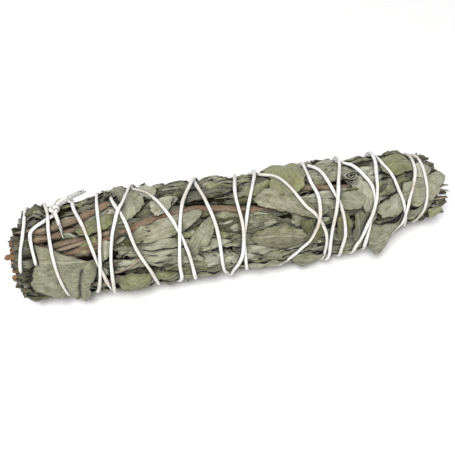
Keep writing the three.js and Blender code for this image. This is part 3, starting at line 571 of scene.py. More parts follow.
def along_across(dx, dy, heading):
    """The parts of a step (dx, dy) along a heading and across it: dx cos + dy sin and
    dy cos - dx sin."""
    c, s = math.cos(math.radians(heading)), math.sin(math.radians(heading))
    return dx * c + dy * s, dy * c - dx * s


def under_leaf(x, deg):
    """1 under a broad leaf from 2.5 mm inside its oblong, 0 from 1.5 mm outside, smooth between."""
    most = np.zeros(np.broadcast(x, deg).shape)
    for lx, ldeg, heading, length, width, *_ in BROAD_LEAVES:
        u, v = along_across(x - lx, arc(turned(deg, ldeg)), heading)
        outside = np.maximum(np.abs(u) - length / 2, np.abs(v) - width / 2)
        most = np.maximum(most, 1 - smooth(outside, -2.5, 1.5))
    return most


print("corners stand off on leaves", list(CORNERS))

# %% Hollows
HOLLOWS = [
    # x, deg and the half lengths along and across, where no leaf fills the skin
    (-59, 47, 4.5, 2.0), (-66, 81, 3.0, 1.6), (-30, -19, 3.6, 1.3), (-54.5, -31, 3.0, 2.0),
    (56.5, -4, 5.2, 3.2), (41, -4, 4.0, 1.5), (22, 31, 5.0, 1.3), (62, 50, 3.0, 1.8),
    (-40, 69, 4.0, 1.3), (-3, 62, 4.0, 1.2), (6, -14, 3.0, 1.0), (44, 79, 6.0, 1.2), (-97, 84, 4.0, 2.0),
]


def hollow(x, deg):
    """1 inside a hollow and 0 from 1.6 times its size outwards, smooth between. The hollow is an
    ellipse made ragged by two slanting waves, one 4 mm and one 7 mm long."""
    ragged = 1 + 0.3 * np.sin(1.6 * x + 0.3 * deg) + 0.25 * np.sin(0.7 * deg - 0.9 * x)
    most = np.zeros(np.broadcast(x, deg).shape)
    for hx, hdeg, half_x, half_y in HOLLOWS:
        out = ragged * np.hypot((x - hx) / half_x, arc(turned(deg, hdeg)) / half_y)
        most = np.maximum(most, 1 - smooth(out, 0.7, 1.6))
    return most


print(len(HOLLOWS), "hollows")

# %% Blade outline
LEAF = (
    "x", "deg", "heading", "bend", "length", "width", "foot", "tip",
    "curl", "crease", "crumple", "blunt", "tone", "finish",
)
BLADE_THICK = 0.34  # mm, the real leaf's thickness with its felt
UNDER_OFF_FLOOR = 0.02  # mm that a blade's inner side keeps from the surface below


def unit(v, tiny=0.0):
    """Vectors of length 1: v over its length, to which tiny is added where it may be 0."""
    return v / (np.linalg.norm(v, axis=-1, keepdims=True) + tiny)


def outline(t, blunt):
    """Half width along the blade: sin^0.7 of a sweep from foot to tip, or held wide to a cut end."""
    whole = np.sin(np.pi * np.clip(0.05 + 0.92 * t**0.9, 0, 1)) ** 0.7
    cut = 0.25 + 0.75 * np.sin(np.pi / 2 * np.clip(t * 1.4, 0, 1))
    return whole * (1 - blunt) + cut * blunt


print("half width at the middle of a whole blade:", round(float(outline(0.5, 0.0)), 2))

# %% Blade surface
SCALLOP = 2.2  # mm from one tooth of the margin to the next
WAVE, MARGIN_WAVE = 17, 8.5  # mm from one crumple to the next, over the blade and at its margins
BRIDGING, BRIDGE_SAG, LEAF_SAG = 0.3, 0.8, 4.0  # share that spans hollows, and how deep both sag


def blades(leaves, rows, cols, rng, sunk=1.4):
    """Leaves (n, 14) as closed shells, their values in the order of LEAF. The middle line runs
    from (x, deg) along its heading, which turns by bend. Across it lies an arc of angle curl,
    with a crease at the midrib. Height over the pressed skin is that arc less the depth, which
    goes from foot to tip, plus sines along and across as crumples, all held down near the
    string. Under a broad leaf it is less by sunk, and in a hollow by the blade's sag."""
    f = {name: leaves[:, i, None, None] for i, name in enumerate(LEAF)}
    n = len(leaves)
    t = np.linspace(0, 1, rows)[None, :, None]
    s = np.linspace(-1, 1, cols)[None, None, :]
    p = rng.uniform(0, 2 * np.pi, (6, n, 1, 1))
    sag = np.where(rng.uniform(0, 1, (n, 1, 1)) < BRIDGING, BRIDGE_SAG, LEAF_SAG)
    turn = np.radians(f["heading"] + f["bend"] * (t - 0.5))
    step = f["length"] / (rows - 1)
    mid_x = f["x"] + np.cumsum(np.cos(turn), 1) * step - np.cos(turn[:, :1]) * step
    mid_y = arc(f["deg"]) + np.cumsum(np.sin(turn), 1) * step - np.sin(turn[:, :1]) * step
    run = 2 * np.pi * t * f["length"]
    scallop = 1 + 0.035 * np.sin(run / SCALLOP + p[0]) * np.abs(s) ** 4
    half = f["width"] / 2 * outline(t, f["blunt"]) * scallop * (1 + 0.1 * np.sin(5 * t + p[1] + s))
    curled = f["curl"] * (0.7 + 0.3 * np.sin(3.1 * t + p[2])) * s
    curled = np.where(np.abs(curled) < 1e-3, 1e-3, curled)
    aside = half * s * np.sin(curled) / curled
    bulge = -half * np.abs(s) * (1 - np.cos(curled)) / np.abs(curled) * np.sign(f["curl"] + 1e-6)
    bulge = bulge - f["crease"] * half * (1 - np.abs(s)) ** 2
    x = mid_x - aside * np.sin(turn)
    y = mid_y + aside * np.cos(turn)
    deg = np.degrees(y / MEAN_RADIUS)
    crumple = f["crumple"] * (
        0.55 * np.sin(run / WAVE + 1.6 * s + p[3])
        + 0.6 * np.abs(s) ** 2 * np.sin(run / MARGIN_WAVE + 2.5 * s + p[4])
        + 0.3 * np.sin(4.4 * s + 5 * t + p[5])
    )
    depth = f["foot"] + (f["tip"] - f["foot"]) * smooth(t, 0, 0.6)
    free = freedom(x, deg, held=1.0, loose=4.5)
    sink = sunk * under_leaf(x, deg) * smooth(t, 0, 0.3) if sunk else 0
    radius = pressed_skin(x, deg) - depth - sink + (bulge + crumple) * free - sag * hollow(x, deg)
    top = place(x, deg, radius)
    normal = unit(-np.cross(np.gradient(top, axis=1), np.gradient(top, axis=2)), tiny=1e-9)
    points = np.stack([top, top - BLADE_THICK * normal], 1)
    points[..., 2] = np.maximum(points[..., 2], UNDER_OFF_FLOOR)
    u = np.broadcast_to(t * f["length"] / 10, deg.shape)
    uv = np.stack([u, np.broadcast_to(s, deg.shape)], -1)
    # painted shade and light: the tone is higher on the high folds and lower in the low ones and along the
    # midrib's crease
    tone = f["tone"] + 0.16 * crumple / (f["crumple"] + 0.3)
    tone = tone - 0.1 * (1 - smooth(np.abs(s), 0.0, 0.5)) * f["crease"]
    rim = np.broadcast_to(np.maximum(np.abs(s), 1.6 * t - 0.6), deg.shape)
    return points, np.stack([uv, uv], 1), np.stack([tone, tone], 1), np.stack([rim, rim], 1)


def shell_faces(n, rows, cols):
    """Quads of n shells: the outer grid, the inner grid turned over, and the rim that joins them."""
    at = np.arange(rows * cols).reshape(rows, cols)
    a, b, c, d = at[:-1, :-1], at[1:, :-1], at[1:, 1:], at[:-1, 1:]
    outer = np.stack([a, d, c, b], -1).reshape(-1, 4)
    inner = np.stack([a, b, c, d], -1).reshape(-1, 4) + rows * cols
    ring = np.concatenate([at[0, :-1], at[:-1, -1], at[-1, :0:-1], at[:0:-1, 0]])
    after = np.roll(ring, -1)
    rim = np.stack([ring, ring + rows * cols, after + rows * cols, after], -1)
    one = np.concatenate([outer, inner, rim])
    return (one[None] + (2 * rows * cols * np.arange(n))[:, None, None]).reshape(-1, 4)


# %% [markdown]
# ## Broad leaves with outlines of their own
# The broad leaves on top are the first that one sees, and each is torn and folded in its own
# way, so a strip won't do. A flat shape cut out of a sheet would have no points inside to
# crumple. Here rings of points grow from the middle of the leaf to a traced outline, so the
# mesh is even and ends exactly at the torn edge.

# %% Curves and ridges
def curve_through(route, count, closed=False):
    """Catmull-Rom: each stretch is a cubic whose slopes run from the point before to the one after."""
    p = np.array(route, float)
    before, after = (p[-1:], p[:2]) if closed else ([2 * p[0] - p[1]], [2 * p[-1] - p[-2]])
    p = np.concatenate([before, p, after])
    u = np.linspace(0, len(p) - 3 - 1e-6, count + closed)[:count]
    k, t = u.astype(int), (u - u.astype(int))[:, None]
    a, b, c, d = p[k], p[k + 1], p[k + 2], p[k + 3]
    return b + 0.5 * t * (c - a + t * (2 * a - 5 * b + 4 * c - d + t * (3 * (b - c) + d - a)))


def ridges(x, y, rng, lengths=(19, 12, 7.5, 5), sharp=0.5):
    """Sum of waves of those lengths in mm, each its own way, part round sines and part folds
    with sharp valleys; the shorter the lower. Mostly between -1 and 1."""
    total = np.zeros(np.broadcast(x, y).shape)
    for length in lengths:
        way, phase = rng.uniform(0, np.pi), rng.uniform(0, 2 * np.pi)
        wave = np.sin(np.pi * (x * np.cos(way) + y * np.sin(way)) / length * 2 + phase)
        total += (length / 28) * ((1 - sharp) * wave + sharp * (2 * np.abs(wave) - 1))
    return total


print("ridges at one spot:", round(float(ridges(0.0, 0.0, np.random.default_rng(1))), 2))

# %% A leaf within a traced outline
RINGS, ROUND = 20, 120  # rings from the leaf's middle to its edge, and points on each
FOLD_HALF = 0.9  # mm from a fold's line to where it has lost most of its height
CORNER_HALF = 7  # mm, the same for a corner that stands off
RIB_REACH = 13  # mm, the broadest that a leaf's veins reckon with


def edge_of(traced, rng):
    """The leaf's middle and its edge, on the unrolled skin: between the straight lines and the
    smooth curve through the traced corners, roughened by sines of 9 to 41 waves round."""
    flat = np.array([(x, arc(deg)) for x, deg in traced])
    turn = np.linspace(0, len(flat), ROUND, endpoint=False)
    corners = np.arange(len(flat) + 1)
    straight = np.stack([np.interp(turn, corners, np.append(c, c[0])) for c in flat.T], 1)
    edge = 0.45 * curve_through(flat, ROUND, closed=True) + 0.55 * straight
    middle = edge.mean(0)
    way = edge - middle
    around = np.linspace(0, 2 * np.pi, ROUND, endpoint=False)
    rough = sum(a * np.sin(n * around + rng.uniform(0, 6)) for n, a in ((9, 0.35), (17, 0.28), (41, 0.16)))
    reach = np.linalg.norm(way, axis=1, keepdims=True)
    return middle, way, edge + rough[:, None] * min(1, reach.mean() / 12) * way / reach


def folded(x, deg, folds):
    """Sum of the folds' heights: each a bell across its line, faded in at the line's upper end."""
    total = np.zeros(x.shape)
    for most, route in folds:
        line_x, line_deg = np.array(route, float).T
        aside = x - np.interp(deg, line_deg, line_x)
        starts = smooth(deg, line_deg[0] - 6, line_deg[0] + 6)
        total = total + most * starts * np.exp(-((aside / FOLD_HALF) ** 2))
    return total


def traced_leaf(traced, rib, width, lip, rng, over=0.0, corner=None, folds=()):
    """Rings of points from the leaf's middle to its edge on top, and back below. Height over the
    pressed skin is 0.7 mm and over, with crumples, a rim that dips and, on the side that lip
    points to, a rim that rises; folds add theirs. A corner, given by x, deg and height, lifts
    what is near it by a bell. rib is a point of the midrib and its heading."""
    middle, way, edge = edge_of(traced, rng)
    share = np.linspace(0.03, 1, RINGS)[:, None, None] ** 0.8
    spot = middle + (edge - middle)[None] * share
    x, y, r = spot[..., 0], spot[..., 1], share[..., 0]
    deg = np.degrees(y / MEAN_RADIUS)
    towards = smooth(np.cos(np.arctan2(way[:, 1], way[:, 0]) - math.radians(lip)), 0.2, 1.0)[None]
    height = 0.7 + over - 0.35 * r**3 + 0.9 * ridges(x, y, rng) + 1.6 * towards * r**6
    height = height + folded(x, deg, folds)
    radius = pressed_skin(x, deg) + height * freedom(x, deg, held=0.8, loose=4.0)
    if corner:
        near = np.hypot(x - corner[0], y - arc(corner[1]))
        radius = radius + corner[2] * np.exp(-((near / CORNER_HALF) ** 2))
    top = place(x, deg, radius)
    normal = unit(np.cross(np.gradient(top, axis=0), np.roll(top, -1, 1) - np.roll(top, 1, 1)))
    below = (top - BLADE_THICK * normal)[::-1]
    along, across = along_across(x - rib[0], y - arc(rib[1]), rib[2])
    u, v = along / 10, across / (min(width, RIB_REACH) / 2)
    v = v + 0.14 * np.sin(1.5 * u + lip)  # no midrib is quite straight
    uv, rim = np.stack([u, v], -1), np.broadcast_to(r, x.shape)
    return np.concatenate([top, below]), np.concatenate([uv, uv[::-1]]), np.concatenate([rim, rim[::-1]])


def ring_faces(stations, around):
    """Quads between closed rings, and one face over each end."""
    at = np.arange(stations * around).reshape(stations, around)
    right = np.roll(at, -1, 1)
    walls = np.stack([at[:-1], right[:-1], right[1:], at[1:]], -1).reshape(-1, 4)
    return walls, at[:1, ::-1].copy(), at[-1:].copy()


# %% Broad and small leaf pieces
GRID = (46, 23)  # points along and across a broad leaf that isn't traced


def two(n):
    """Two digits, as in the names of the CAD nodes."""
    return f"{n:02d}"


def whole_leaf(x, deg, heading, length, width, bend, tone, rng):
    """A blade whose middle is at (x, deg): its foot is half its length back along its heading."""
    start = math.radians(heading - bend * 0.25)
    foot_x = x - length / 2 * math.cos(start)
    foot_deg = deg - math.degrees(length / 2 * math.sin(start) / MEAN_RADIUS)
    curl = rng.uniform(0.3, 0.7)
    leaf = [foot_x, foot_deg, heading, bend, length, width, 0.9, -0.4, curl, 0.15, 0.8, 0, tone, 0]
    points, uv, _, rim = blades(np.array([leaf]), *GRID, rng, sunk=0)
    return points, uv, rim


def leaf_piece(name, surface, faces, finish, tone, nodes=()):
    """A leaf of one tone as a piece of its own."""
    points, uv, rim = surface
    piece(name, points, faces, [finish], uv, np.full(rim.shape, tone), rim, nodes=nodes)


for i, (x, deg, heading, length, width, bend, finish, tone, traced, lip) in enumerate(BROAD_LEAVES):
    rng, n = np.random.default_rng(300 + i), i + 1
    if traced:
        rib = MIDRIBS.get(n, (x, deg, heading))
        surface = traced_leaf(traced, rib, width, lip, rng, 0, CORNERS.get(n), FOLDS.get(n, ()))
        faces = list(ring_faces(2 * RINGS, ROUND))
    else:
        surface = whole_leaf(x, deg, heading, length, width, bend, tone, rng)
        faces = [shell_faces(1, *GRID)]
    leaf_piece("broad_leaf_" + two(n), surface, faces, finish, tone, ["loose_leaf_" + two(n)])
for i, (x, deg, heading, width, finish, tone, traced, lip) in enumerate(SMALL_LEAVES):
    rng = np.random.default_rng(600 + i)
    surface = traced_leaf(traced, (x, deg, heading), width, lip, rng, over=0.25)
    leaf_piece("small_leaf_" + two(i + 1), surface, list(ring_faces(2 * RINGS, ROUND)), finish, tone)
print("the last small leaf is", round(float(np.ptp(surface[0][..., 0])), 1), "mm long")

# %% [markdown]
# ## Rolled leaves
# Two leaves have dried into scrolls. Bending a flat leaf with a modifier would work too, but a
# spiral carried upwards is a plain grid of angle and height, and its turns never touch.

# %% Rolled leaf pieces
LEAN_X, LEAN_FRONT = 0.2, 0.6  # mm along the bunch and to the front for each mm up


def rolled_leaf(name, spot, size, turns, rise, finish, tone):
    """A leaf rolled like a scroll, its open end outwards: round the middle at spot its distance
    grows evenly with the angle, from a quarter of size to all of it."""
    x, deg = spot
    angle = np.linspace(0, 2 * np.pi * turns, 64)[:, None]
    up = np.linspace(-4, rise, 8)[None]
    grow = (0.25 + 0.75 * angle / angle[-1]) * (1 + 0.03 * np.sin(3.3 * angle + 0.6 * up))
    aside = np.degrees((size[1] * grow * np.sin(angle) + LEAN_FRONT * up) / MEAN_RADIUS)
    height = skin(x, deg) + up * (1 + 0.12 * np.sin(2.2 * angle))
    top = place(x + size[0] * grow * np.cos(angle) + LEAN_X * up, deg + aside, height)
    normal = unit(-np.cross(np.gradient(top, axis=0), np.gradient(top, axis=1)))
    shape = height.shape
    uv = np.stack(np.broadcast_arrays(angle * size[0] / 12, 0.15 + up / 5), -1)
    rim = np.broadcast_to(1 + (up - rise) / 8, shape)
    surface = np.stack([top, top - BLADE_THICK * normal]), np.stack([uv, uv]), np.stack([rim, rim])
    leaf_piece(name, surface, [shell_faces(1, *shape)], finish, tone)


rolled_leaf("rolled_leaf_01", (58.9, -5), (3.6, 2.3), 1.9, 2.3, PALE_SAGE, 0.9)
rolled_leaf("rolled_leaf_02", (-55, -34), (2.6, 2.2), 1.3, 1.8, SAGE, 0.6)
print("2 rolled leaves")

# %% [markdown]
# ## Sprigs
# Each of the seven sprigs is a slice of the bunch. What shows of it is layer on layer of
# blades: wide ones that lie flat, narrow ones folded shut into pleats, scraps, cut blade
# ends at the left and a tuft of tips at the right. A core behind them, painted near-black as
# shade, stops the light, as the imported foliage does. Placing so many by hand would take
# days, so each kind has a rule and a seeded draw.

# %% Blades listed one by one
SAGE_FACE, CORE_FACE, PALE_FACE, OLIVE_FACE, BARK_FACE = range(5)
FINISHES = [SAGE, CORE, PALE_SAGE, OLIVE_SAGE, BARK]
HAND_PLACED = [
    # rows in the order of LEAF, the last value being the place of its finish in FINISHES
    # pleats that lie along the front
    (-50, 39, 3, 4, 31, 5.5, 1.6, -0.6, 1.0, 0.2, 0.9, 0, 0.66, 0),
    (-51, 49, 2, -4, 30, 5.0, 1.6, -0.5, 1.3, 0.2, 1.0, 0, 0.58, 2),
    (-52, 57, 4, 6, 28, 6.0, 1.6, -0.6, 1.1, 0.2, 1.1, 0, 0.62, 0),
    (-54, 66, 2, 4, 30, 5.5, 1.6, -0.5, 1.2, 0.3, 1.0, 0, 0.5, 0),
    (-53, 75, 6, -8, 26, 6.5, 1.4, -0.5, 1.0, 0.1, 1.2, 0, 0.5, 3),
    (-56, 86, -3, 8, 22, 9.0, 1.2, -0.3, 0.6, 0.1, 1.2, 0, 0.42, 3),
    (-31, 52, -2, 6, 30, 6.0, 1.8, -0.5, 1.0, 0.2, 1.1, 0, 0.6, 2),
    (-28, 66, 3, 6, 30, 6.5, 1.6, -0.4, 1.0, 0.2, 1.0, 0, 0.62, 0),
    (-22, 78, -2, 4, 34, 8.0, 1.4, -0.4, 0.7, 0.1, 1.0, 0, 0.66, 2),
    (-8, 66, 0, -4, 30, 7.0, 1.8, -0.4, 0.8, 0.2, 1.0, 0, 0.6, 2),
    (0, 76, 4, 0, 34, 6.0, 1.8, -0.5, 1.2, 0.2, 1.1, 0, 0.5, 0),
    # pleats that are dark and short beside the long stem
    (-46, 33, -4, 2, 22, 4.5, 1.8, -0.2, 1.5, 0.3, 0.8, 0, 0.3, 0),
    (-24, -13, -2, 6, 28, 9, 2.8, 0.8, 0.6, 0.2, 1.0, 0, 0.22, 0),
    (-2, 4, 3, 4, 26, 5, 2.6, 0.6, 1.2, 0.2, 1.0, 0, 0.3, 3),
    # bits of leaf, bract and bark that stand out of the tips at the front
    (101, 30, 10, 30, 8, 2.2, 1.0, 0.5, 1.2, 0.2, 1.0, 0.2, 0.1, 3),
    (102, 38, -12, -30, 8, 2.0, 1.5, 0.0, 1.4, 0.2, 1.0, 0.2, 0.3, 4),
    (101.5, 46, 18, 40, 8.5, 1.8, 2.0, 0.5, 1.0, 0.3, 1.0, 0, 0.5, 4),
    (102, 54, -4, -20, 7.5, 2.4, 1.0, 1.0, 1.4, 0.2, 1.2, 0.3, 0.0, 3),
    (101, 62, 14, 20, 8, 2.0, 1.6, 0.0, 1.2, 0.3, 1.0, 0.2, 0.2, 4),
    (102, 70, -16, -30, 7, 2.2, 0.6, 0.2, 1.0, 0.2, 1.0, 0.4, 0.5, 3),
    (101, 80, 6, 24, 7.5, 2.6, 1.2, 0.3, 1.2, 0.2, 1.0, 0.3, 0.0, 3),
    (103, 24, -20, 20, 6.5, 1.8, 0.8, 0.4, 1.4, 0.3, 1.0, 0.2, 0.4, 4),
    # two along the upper side of the long stem
    (-44, -1, -16, 4, 20, 5.0, 1.4, -0.4, 1.2, 0.3, 0.7, 0, 0.45, 3),
    (-36, 0, -14, 6, 14, 6.0, 1.4, -0.6, 0.8, 0.2, 0.5, 0, 0.62, 2),
    # three along the bottom and two at the upper back, which stand a little proud
    (-34, 104, 3, 4, 30, 11, 0.8, -1.0, 0.5, 0.1, 1.0, 0, 0.5, 0),
    (-6, 108, -2, 4, 34, 12, 0.6, -1.2, 0.5, 0.1, 1.2, 0, 0.42, 2),
    (16, 104, 1, -4, 32, 12, 0.6, -1.2, 0.5, 0.1, 1.2, 0, 0.5, 0),
    (30, -50, 4, 6, 15, 10, 0.6, -1.8, 0.6, 0.1, 1.2, 0, 0.6, 2),
    (24, -60, -6, 6, 20, 11, 0.6, -1.4, 0.6, 0.1, 1.2, 0, 0.5, 0),
    # the crumpled leaf over the cut end, as two blades
    (-84, -33, 184, -14, 14, 9.0, 0.8, -1.2, 1.3, 0.3, 2.2, 1.0, 0.12, 3),
    (-86, -24, 190, 10, 10, 7.0, 0.6, -0.8, 1.6, 0.3, 2.2, 1.0, 0.2, 3),
]
print(len(HAND_PLACED), "blades placed by hand")

# %% Where a sprig lies
SPRIGS = 7
SECTOR = 360 / SPRIGS
CUT_END, TIP_END = -100.5, 110  # x about which cut blades end, and x that no tip passes
CUT_INSET, TIP_INSET = (-65, 45, 8), (-50, 45, 7)  # bells by which the ends fall short, in deg and mm
X, DEG, HEADING, LENGTH = (LEAF.index(name) for name in ("x", "deg", "heading", "length"))


def boundary(k, x):
    """The angle of the wavy side of slice k at x: its sector's edge and a wave of 4 degrees."""
    return 180 + SECTOR * (k - 0.5) + 4 * np.sin(x / 26 + 1.7 * (k % SPRIGS))


def in_sprig(k, x, share):
    """The angle at a share of the way from one side of slice k to the other."""
    return boundary(k, x) * (1 - share) + boundary(k + 1, x) * share


def ends_kept(leaves, rng):
    """The same leaves: those that run to the cut end stop at a draw about it, and those that run
    to the tips are shortened to stay inside the bunch. Both ends fall short at the upper back."""
    crumbs, tips = leaves[:, X] < -93, leaves[:, X] > 94
    leaves[crumbs, X] += bell(leaves[crumbs, DEG], *CUT_INSET)
    leaves[tips, X] -= bell(leaves[tips, DEG], *TIP_INSET)
    cut = (np.abs(leaves[:, HEADING] - 180) < 11) & (leaves[:, X] < -78) & ~crumbs
    end = CUT_END + bell(leaves[cut, DEG], *CUT_INSET) + rng.uniform(-1.2, 3.5, cut.sum())
    leaves[cut, LENGTH] = leaves[cut, X] - end
    away = leaves[:, X] + leaves[:, LENGTH] * np.cos(np.radians(leaves[:, HEADING]))
    over = away - TIP_END + bell(leaves[:, DEG], *TIP_INSET) + rng.uniform(0, 4, len(leaves))
    leaves[:, LENGTH] = np.maximum(leaves[:, LENGTH] - np.maximum(over, 0), 2)
    return leaves


print("sprig 4 lies about", round(float(in_sprig(3, 0.0, 0.5)) % 360), "degrees")

# %% A kind of leaf
def kind_of_leaf(
    rng, k, count, x, share, heading, length, width, foot, tip, curl, crease, crumple, tone,
    bend=(-12, 12), blunt=0.0, mix=(0.55, 0.25, 0.2, 0.0),
):
    """count leaves with each value drawn evenly between its two limits, spread evenly over x.
    mix gives the shares that are plain sage, pale, olive and brown."""
    def between(limits):
        """count draws between two limits, or the one value that is given, count times."""
        return rng.uniform(*limits, count) if isinstance(limits, tuple) else np.full(count, float(limits))

    along = x[0] + (x[1] - x[0]) * (rng.permutation(count) + rng.uniform(0, 1, count)) / count
    sides = rng.choice([-1, 1], count) if curl[0] < 0 else np.ones(count)
    return np.stack([
        along, in_sprig(k, along, between(share)), between(heading), between(bend),
        between(length), between(width), between(foot), between(tip),
        np.abs(between(curl)) * sides, between(crease), between(crumple), between(blunt), between(tone),
        rng.choice([SAGE_FACE, PALE_FACE, OLIVE_FACE, BARK_FACE], count, p=mix),
    ], 1)


print("a blade has", len(LEAF), "values:", ", ".join(LEAF))

# %% Kinds that show
def shown_leaves(k, rng):
    """The blades of sprig k that lie on top: three drawn kinds and those listed one by one."""
    draw = partial(kind_of_leaf, rng, k)
    kinds = [
        # count, then limits of x, share across the sprig, heading, length, width, foot, tip, curl,
        # crease, crumple and tone
        # wide blades that lie flat and overlap like shingles
        draw(13, (-92, 60), (0.1, 0.9), (-13, 13), (32, 52), (9, 14), (3.6, 4.6), (-0.2, 0.9),
             (0.3, 1.0), (0.0, 0.4), (0.7, 1.4), (0.25, 0.85)),
        # narrow blades folded shut, which read as pleats
        draw(23, (-92, 64), (0.04, 0.96), (-9, 9), (24, 48), (4, 7.5), (3.0, 3.8), (-0.6, 0.9),
             (1.0, 2.0), (0.1, 0.6), (0.6, 1.4), (0.0, 0.85)),
        # gutters, folded the other way
        draw(10, (-92, 64), (0.08, 0.92), (-12, 12), (22, 40), (6, 10), (3.4, 4.4), (0.7, 1.6),
             (-1.6, -0.8), (0.1, 0.4), (0.6, 1.3), (0.35, 0.8)),
    ]
    by_hand = [leaf for leaf in HAND_PLACED if round((leaf[1] - 180) / SECTOR) % SPRIGS == k]
    return ends_kept(np.concatenate(kinds + ([np.array(by_hand, float)] if by_hand else [])), rng)


print(len(shown_leaves(3, np.random.default_rng(0))), "shown blades in sprig 4")

# %% Kinds that show little
def small_leaves(k, rng):
    """The blades of sprig k that show little: the under layer, scraps and both ends."""
    draw = partial(kind_of_leaf, rng, k)
    kinds = [
        # values in the same order as for the kinds that show
        # under layer, flat, its low tone painted shade for blades that lie deep under the others
        draw(14, (-92, 70), (0.05, 0.95), (-10, 10), (34, 46), (10, 15), (3.8, 4.6), (2.4, 3.2),
             (0.1, 0.5), (0, 0.2), (0.4, 0.8), (-0.25, 0.1)),
        # scraps and broken tips
        draw(9, (-88, 92), (0.05, 0.95), (-45, 45), (6, 13), (3, 5.5), (1.2, 2.2), (0.1, 0.9),
             (0.5, 1.3), (0.0, 0.4), (0.5, 1.0), (0.1, 0.7), bend=(-50, 50)),
        # pleated blade ends at the cut end, the outer ones and those inside
        draw(19, (-88, -79), (0.03, 0.97), (173, 187), (17, 23), (2.8, 6), (3.6, 4.8), (0.1, 2.6),
             (-2.2, -0.8), (0.1, 0.8), (0.8, 1.8), (-0.15, 0.5), blunt=1.0),
        draw(14, (-86, -80), (0.08, 0.92), (176, 184), (13, 21), (3, 6), (6.0, 14.0), (3.0, 14.0),
             (-2.0, -0.8), (0.1, 0.6), (0.8, 1.8), (-0.2, 0.4), bend=(-6, 6), blunt=1.0),
        # short ends that fill the cut face, and the same among the tips
        draw(34, (-90, -86), (0.03, 0.97), (174, 186), (8, 12), (4, 9), (4.0, 21.0), (4.0, 21.0),
             (-2.4, -0.8), (0.1, 0.8), (0.6, 1.4), (0.0, 0.6), bend=(-8, 8), blunt=1.0),
        draw(22, (84, 92), (0.05, 0.95), (-12, 12), (9, 14), (4, 9), (3.0, 13.0), (2.0, 13.0),
             (-2.0, -0.7), (0.1, 0.8), (0.6, 1.6), (0.0, 0.6), bend=(-24, 24), blunt=0.7),
        # crumbs of leaf and bark at the cut end
        draw(12, (-98.5, -94), (0.03, 0.97), (120, 240), (2.5, 5), (1.5, 3.2), (0.5, 7.0), (-0.2, 7.0),
             (0.3, 1.6), (0.0, 0.5), (0.8, 1.6), (-0.1, 0.5), bend=(-60, 60), blunt=0.6,
             mix=(0.3, 0.1, 0.2, 0.4)),
        # tips at the leafy end, blunt and crumpled
        draw(12, (64, 80), (0.05, 0.95), (-9, 9), (20, 32), (6, 12), (3.4, 4.8), (-0.2, 2.4),
             (-1.5, -0.5), (0.1, 0.5), (0.9, 1.8), (0.1, 0.7), bend=(-20, 20), blunt=0.8),
        draw(12, (76, 88), (0.1, 0.9), (-9, 9), (14, 22), (4, 8), (6.0, 9.0), (2.0, 10.0),
             (-1.8, -0.7), (0.1, 0.6), (0.9, 1.8), (-0.1, 0.5), bend=(-24, 24), blunt=0.8),
        # crumbs of leaf, bract and bark among the tips
        draw(20, (95, 105), (0.03, 0.97), (-70, 70), (3, 8), (1.4, 3.0), (0.0, 6.0), (-0.8, 6.0),
             (0.3, 1.6), (0.0, 0.5), (0.8, 1.6), (0.0, 0.7), bend=(-60, 60), blunt=0.3,
             mix=(0.15, 0.1, 0.35, 0.4)),
    ]
    return ends_kept(np.concatenate(kinds), rng)


print(len(small_leaves(3, np.random.default_rng(0))), "small blades in sprig 4")

# %% Sprig core
CORE_DEPTH, UNDER_LEAF_DEPTH = 3.1, 1.2  # mm under the pressed skin, and more under a broad leaf
CORE_INNER = 2.3  # mm from the axis to the core's two inner points
CORE_GAP = 0.25  # mm that it keeps from the slice's sides
STATIONS, CORE_ROUND = 63, 9  # places along x between the rounded ends, and points of the arc


def sprig_core(k):
    """Rings of a wavy slice at stations along x: an arc of points under the skin and two points
    near the axis. The first and last ring lie deeper, which rounds the ends."""
    x = np.concatenate([[-96], np.linspace(-94.5, 92, STATIONS), [95]])[:, None]
    x = x + bell(in_sprig(k, x, 0.5), *CUT_INSET) * (1 - smooth(x, -96, -70))
    deeper = np.concatenate([[3.2], np.zeros(STATIONS), [6.0]])[:, None]
    u = np.linspace(0, 1, CORE_ROUND)[None]
    clear = math.degrees(CORE_GAP / MEAN_RADIUS)
    deg = (boundary(k, x) + clear) * (1 - u) + (boundary(k + 1, x) - clear) * u
    radius = pressed_skin(x, deg) - CORE_DEPTH - UNDER_LEAF_DEPTH * under_leaf(x, deg) - deeper
    inner_deg = np.concatenate([deg[:, -1:] - 4, deg[:, :1] + 4], 1)
    inner = place(x, inner_deg, np.full(inner_deg.shape, CORE_INNER))
    return np.concatenate([place(x, deg, radius), inner], 1)


print("a core has", sprig_core(0).shape[:2], "points along and round it")

# %% Sprig pieces
GRIDS = ((22, 9), (10, 6))  # points along and across a shown blade and a small one
for k in range(SPRIGS):
    rng = np.random.default_rng(900 + k)
    points, uv, tone, rim, faces, which, base = [], [], [], [], [], [], 0
    for leaves, (rows, cols) in zip((shown_leaves(k, rng), small_leaves(k, rng)), GRIDS):
        made = blades(leaves, rows, cols, rng)
        for values, part in zip((points, uv, tone, rim), made):
            values.append(part.reshape(-1, part.shape[-1]) if part.ndim == 5 else part.ravel())
        quads = shell_faces(len(leaves), rows, cols)
        faces.append(quads + base)
        which.append(np.repeat(leaves[:, -1], len(quads) // len(leaves)))
        base += len(points[-1])
    core = sprig_core(k)
    walls, cap_a, cap_b = ring_faces(*core.shape[:2])
    faces += [walls + base, cap_a + base, cap_b + base]
    which.append(np.full(len(walls) + 2, CORE_FACE))
    bare = np.zeros(core.shape[0] * core.shape[1])
    piece(
        "sprig_leaves_" + two(k + 1), np.concatenate([*points, core.reshape(-1, 3)]), faces, FINISHES,
        np.concatenate([*uv, np.zeros((len(bare), 2))]), np.concatenate([*tone, bare]),
        np.concatenate([*rim, bare]), np.concatenate(which), ["sprig_" + two(k + 1)],
    )
print(SPRIGS, "sprigs,", base + len(bare), "points in the last")

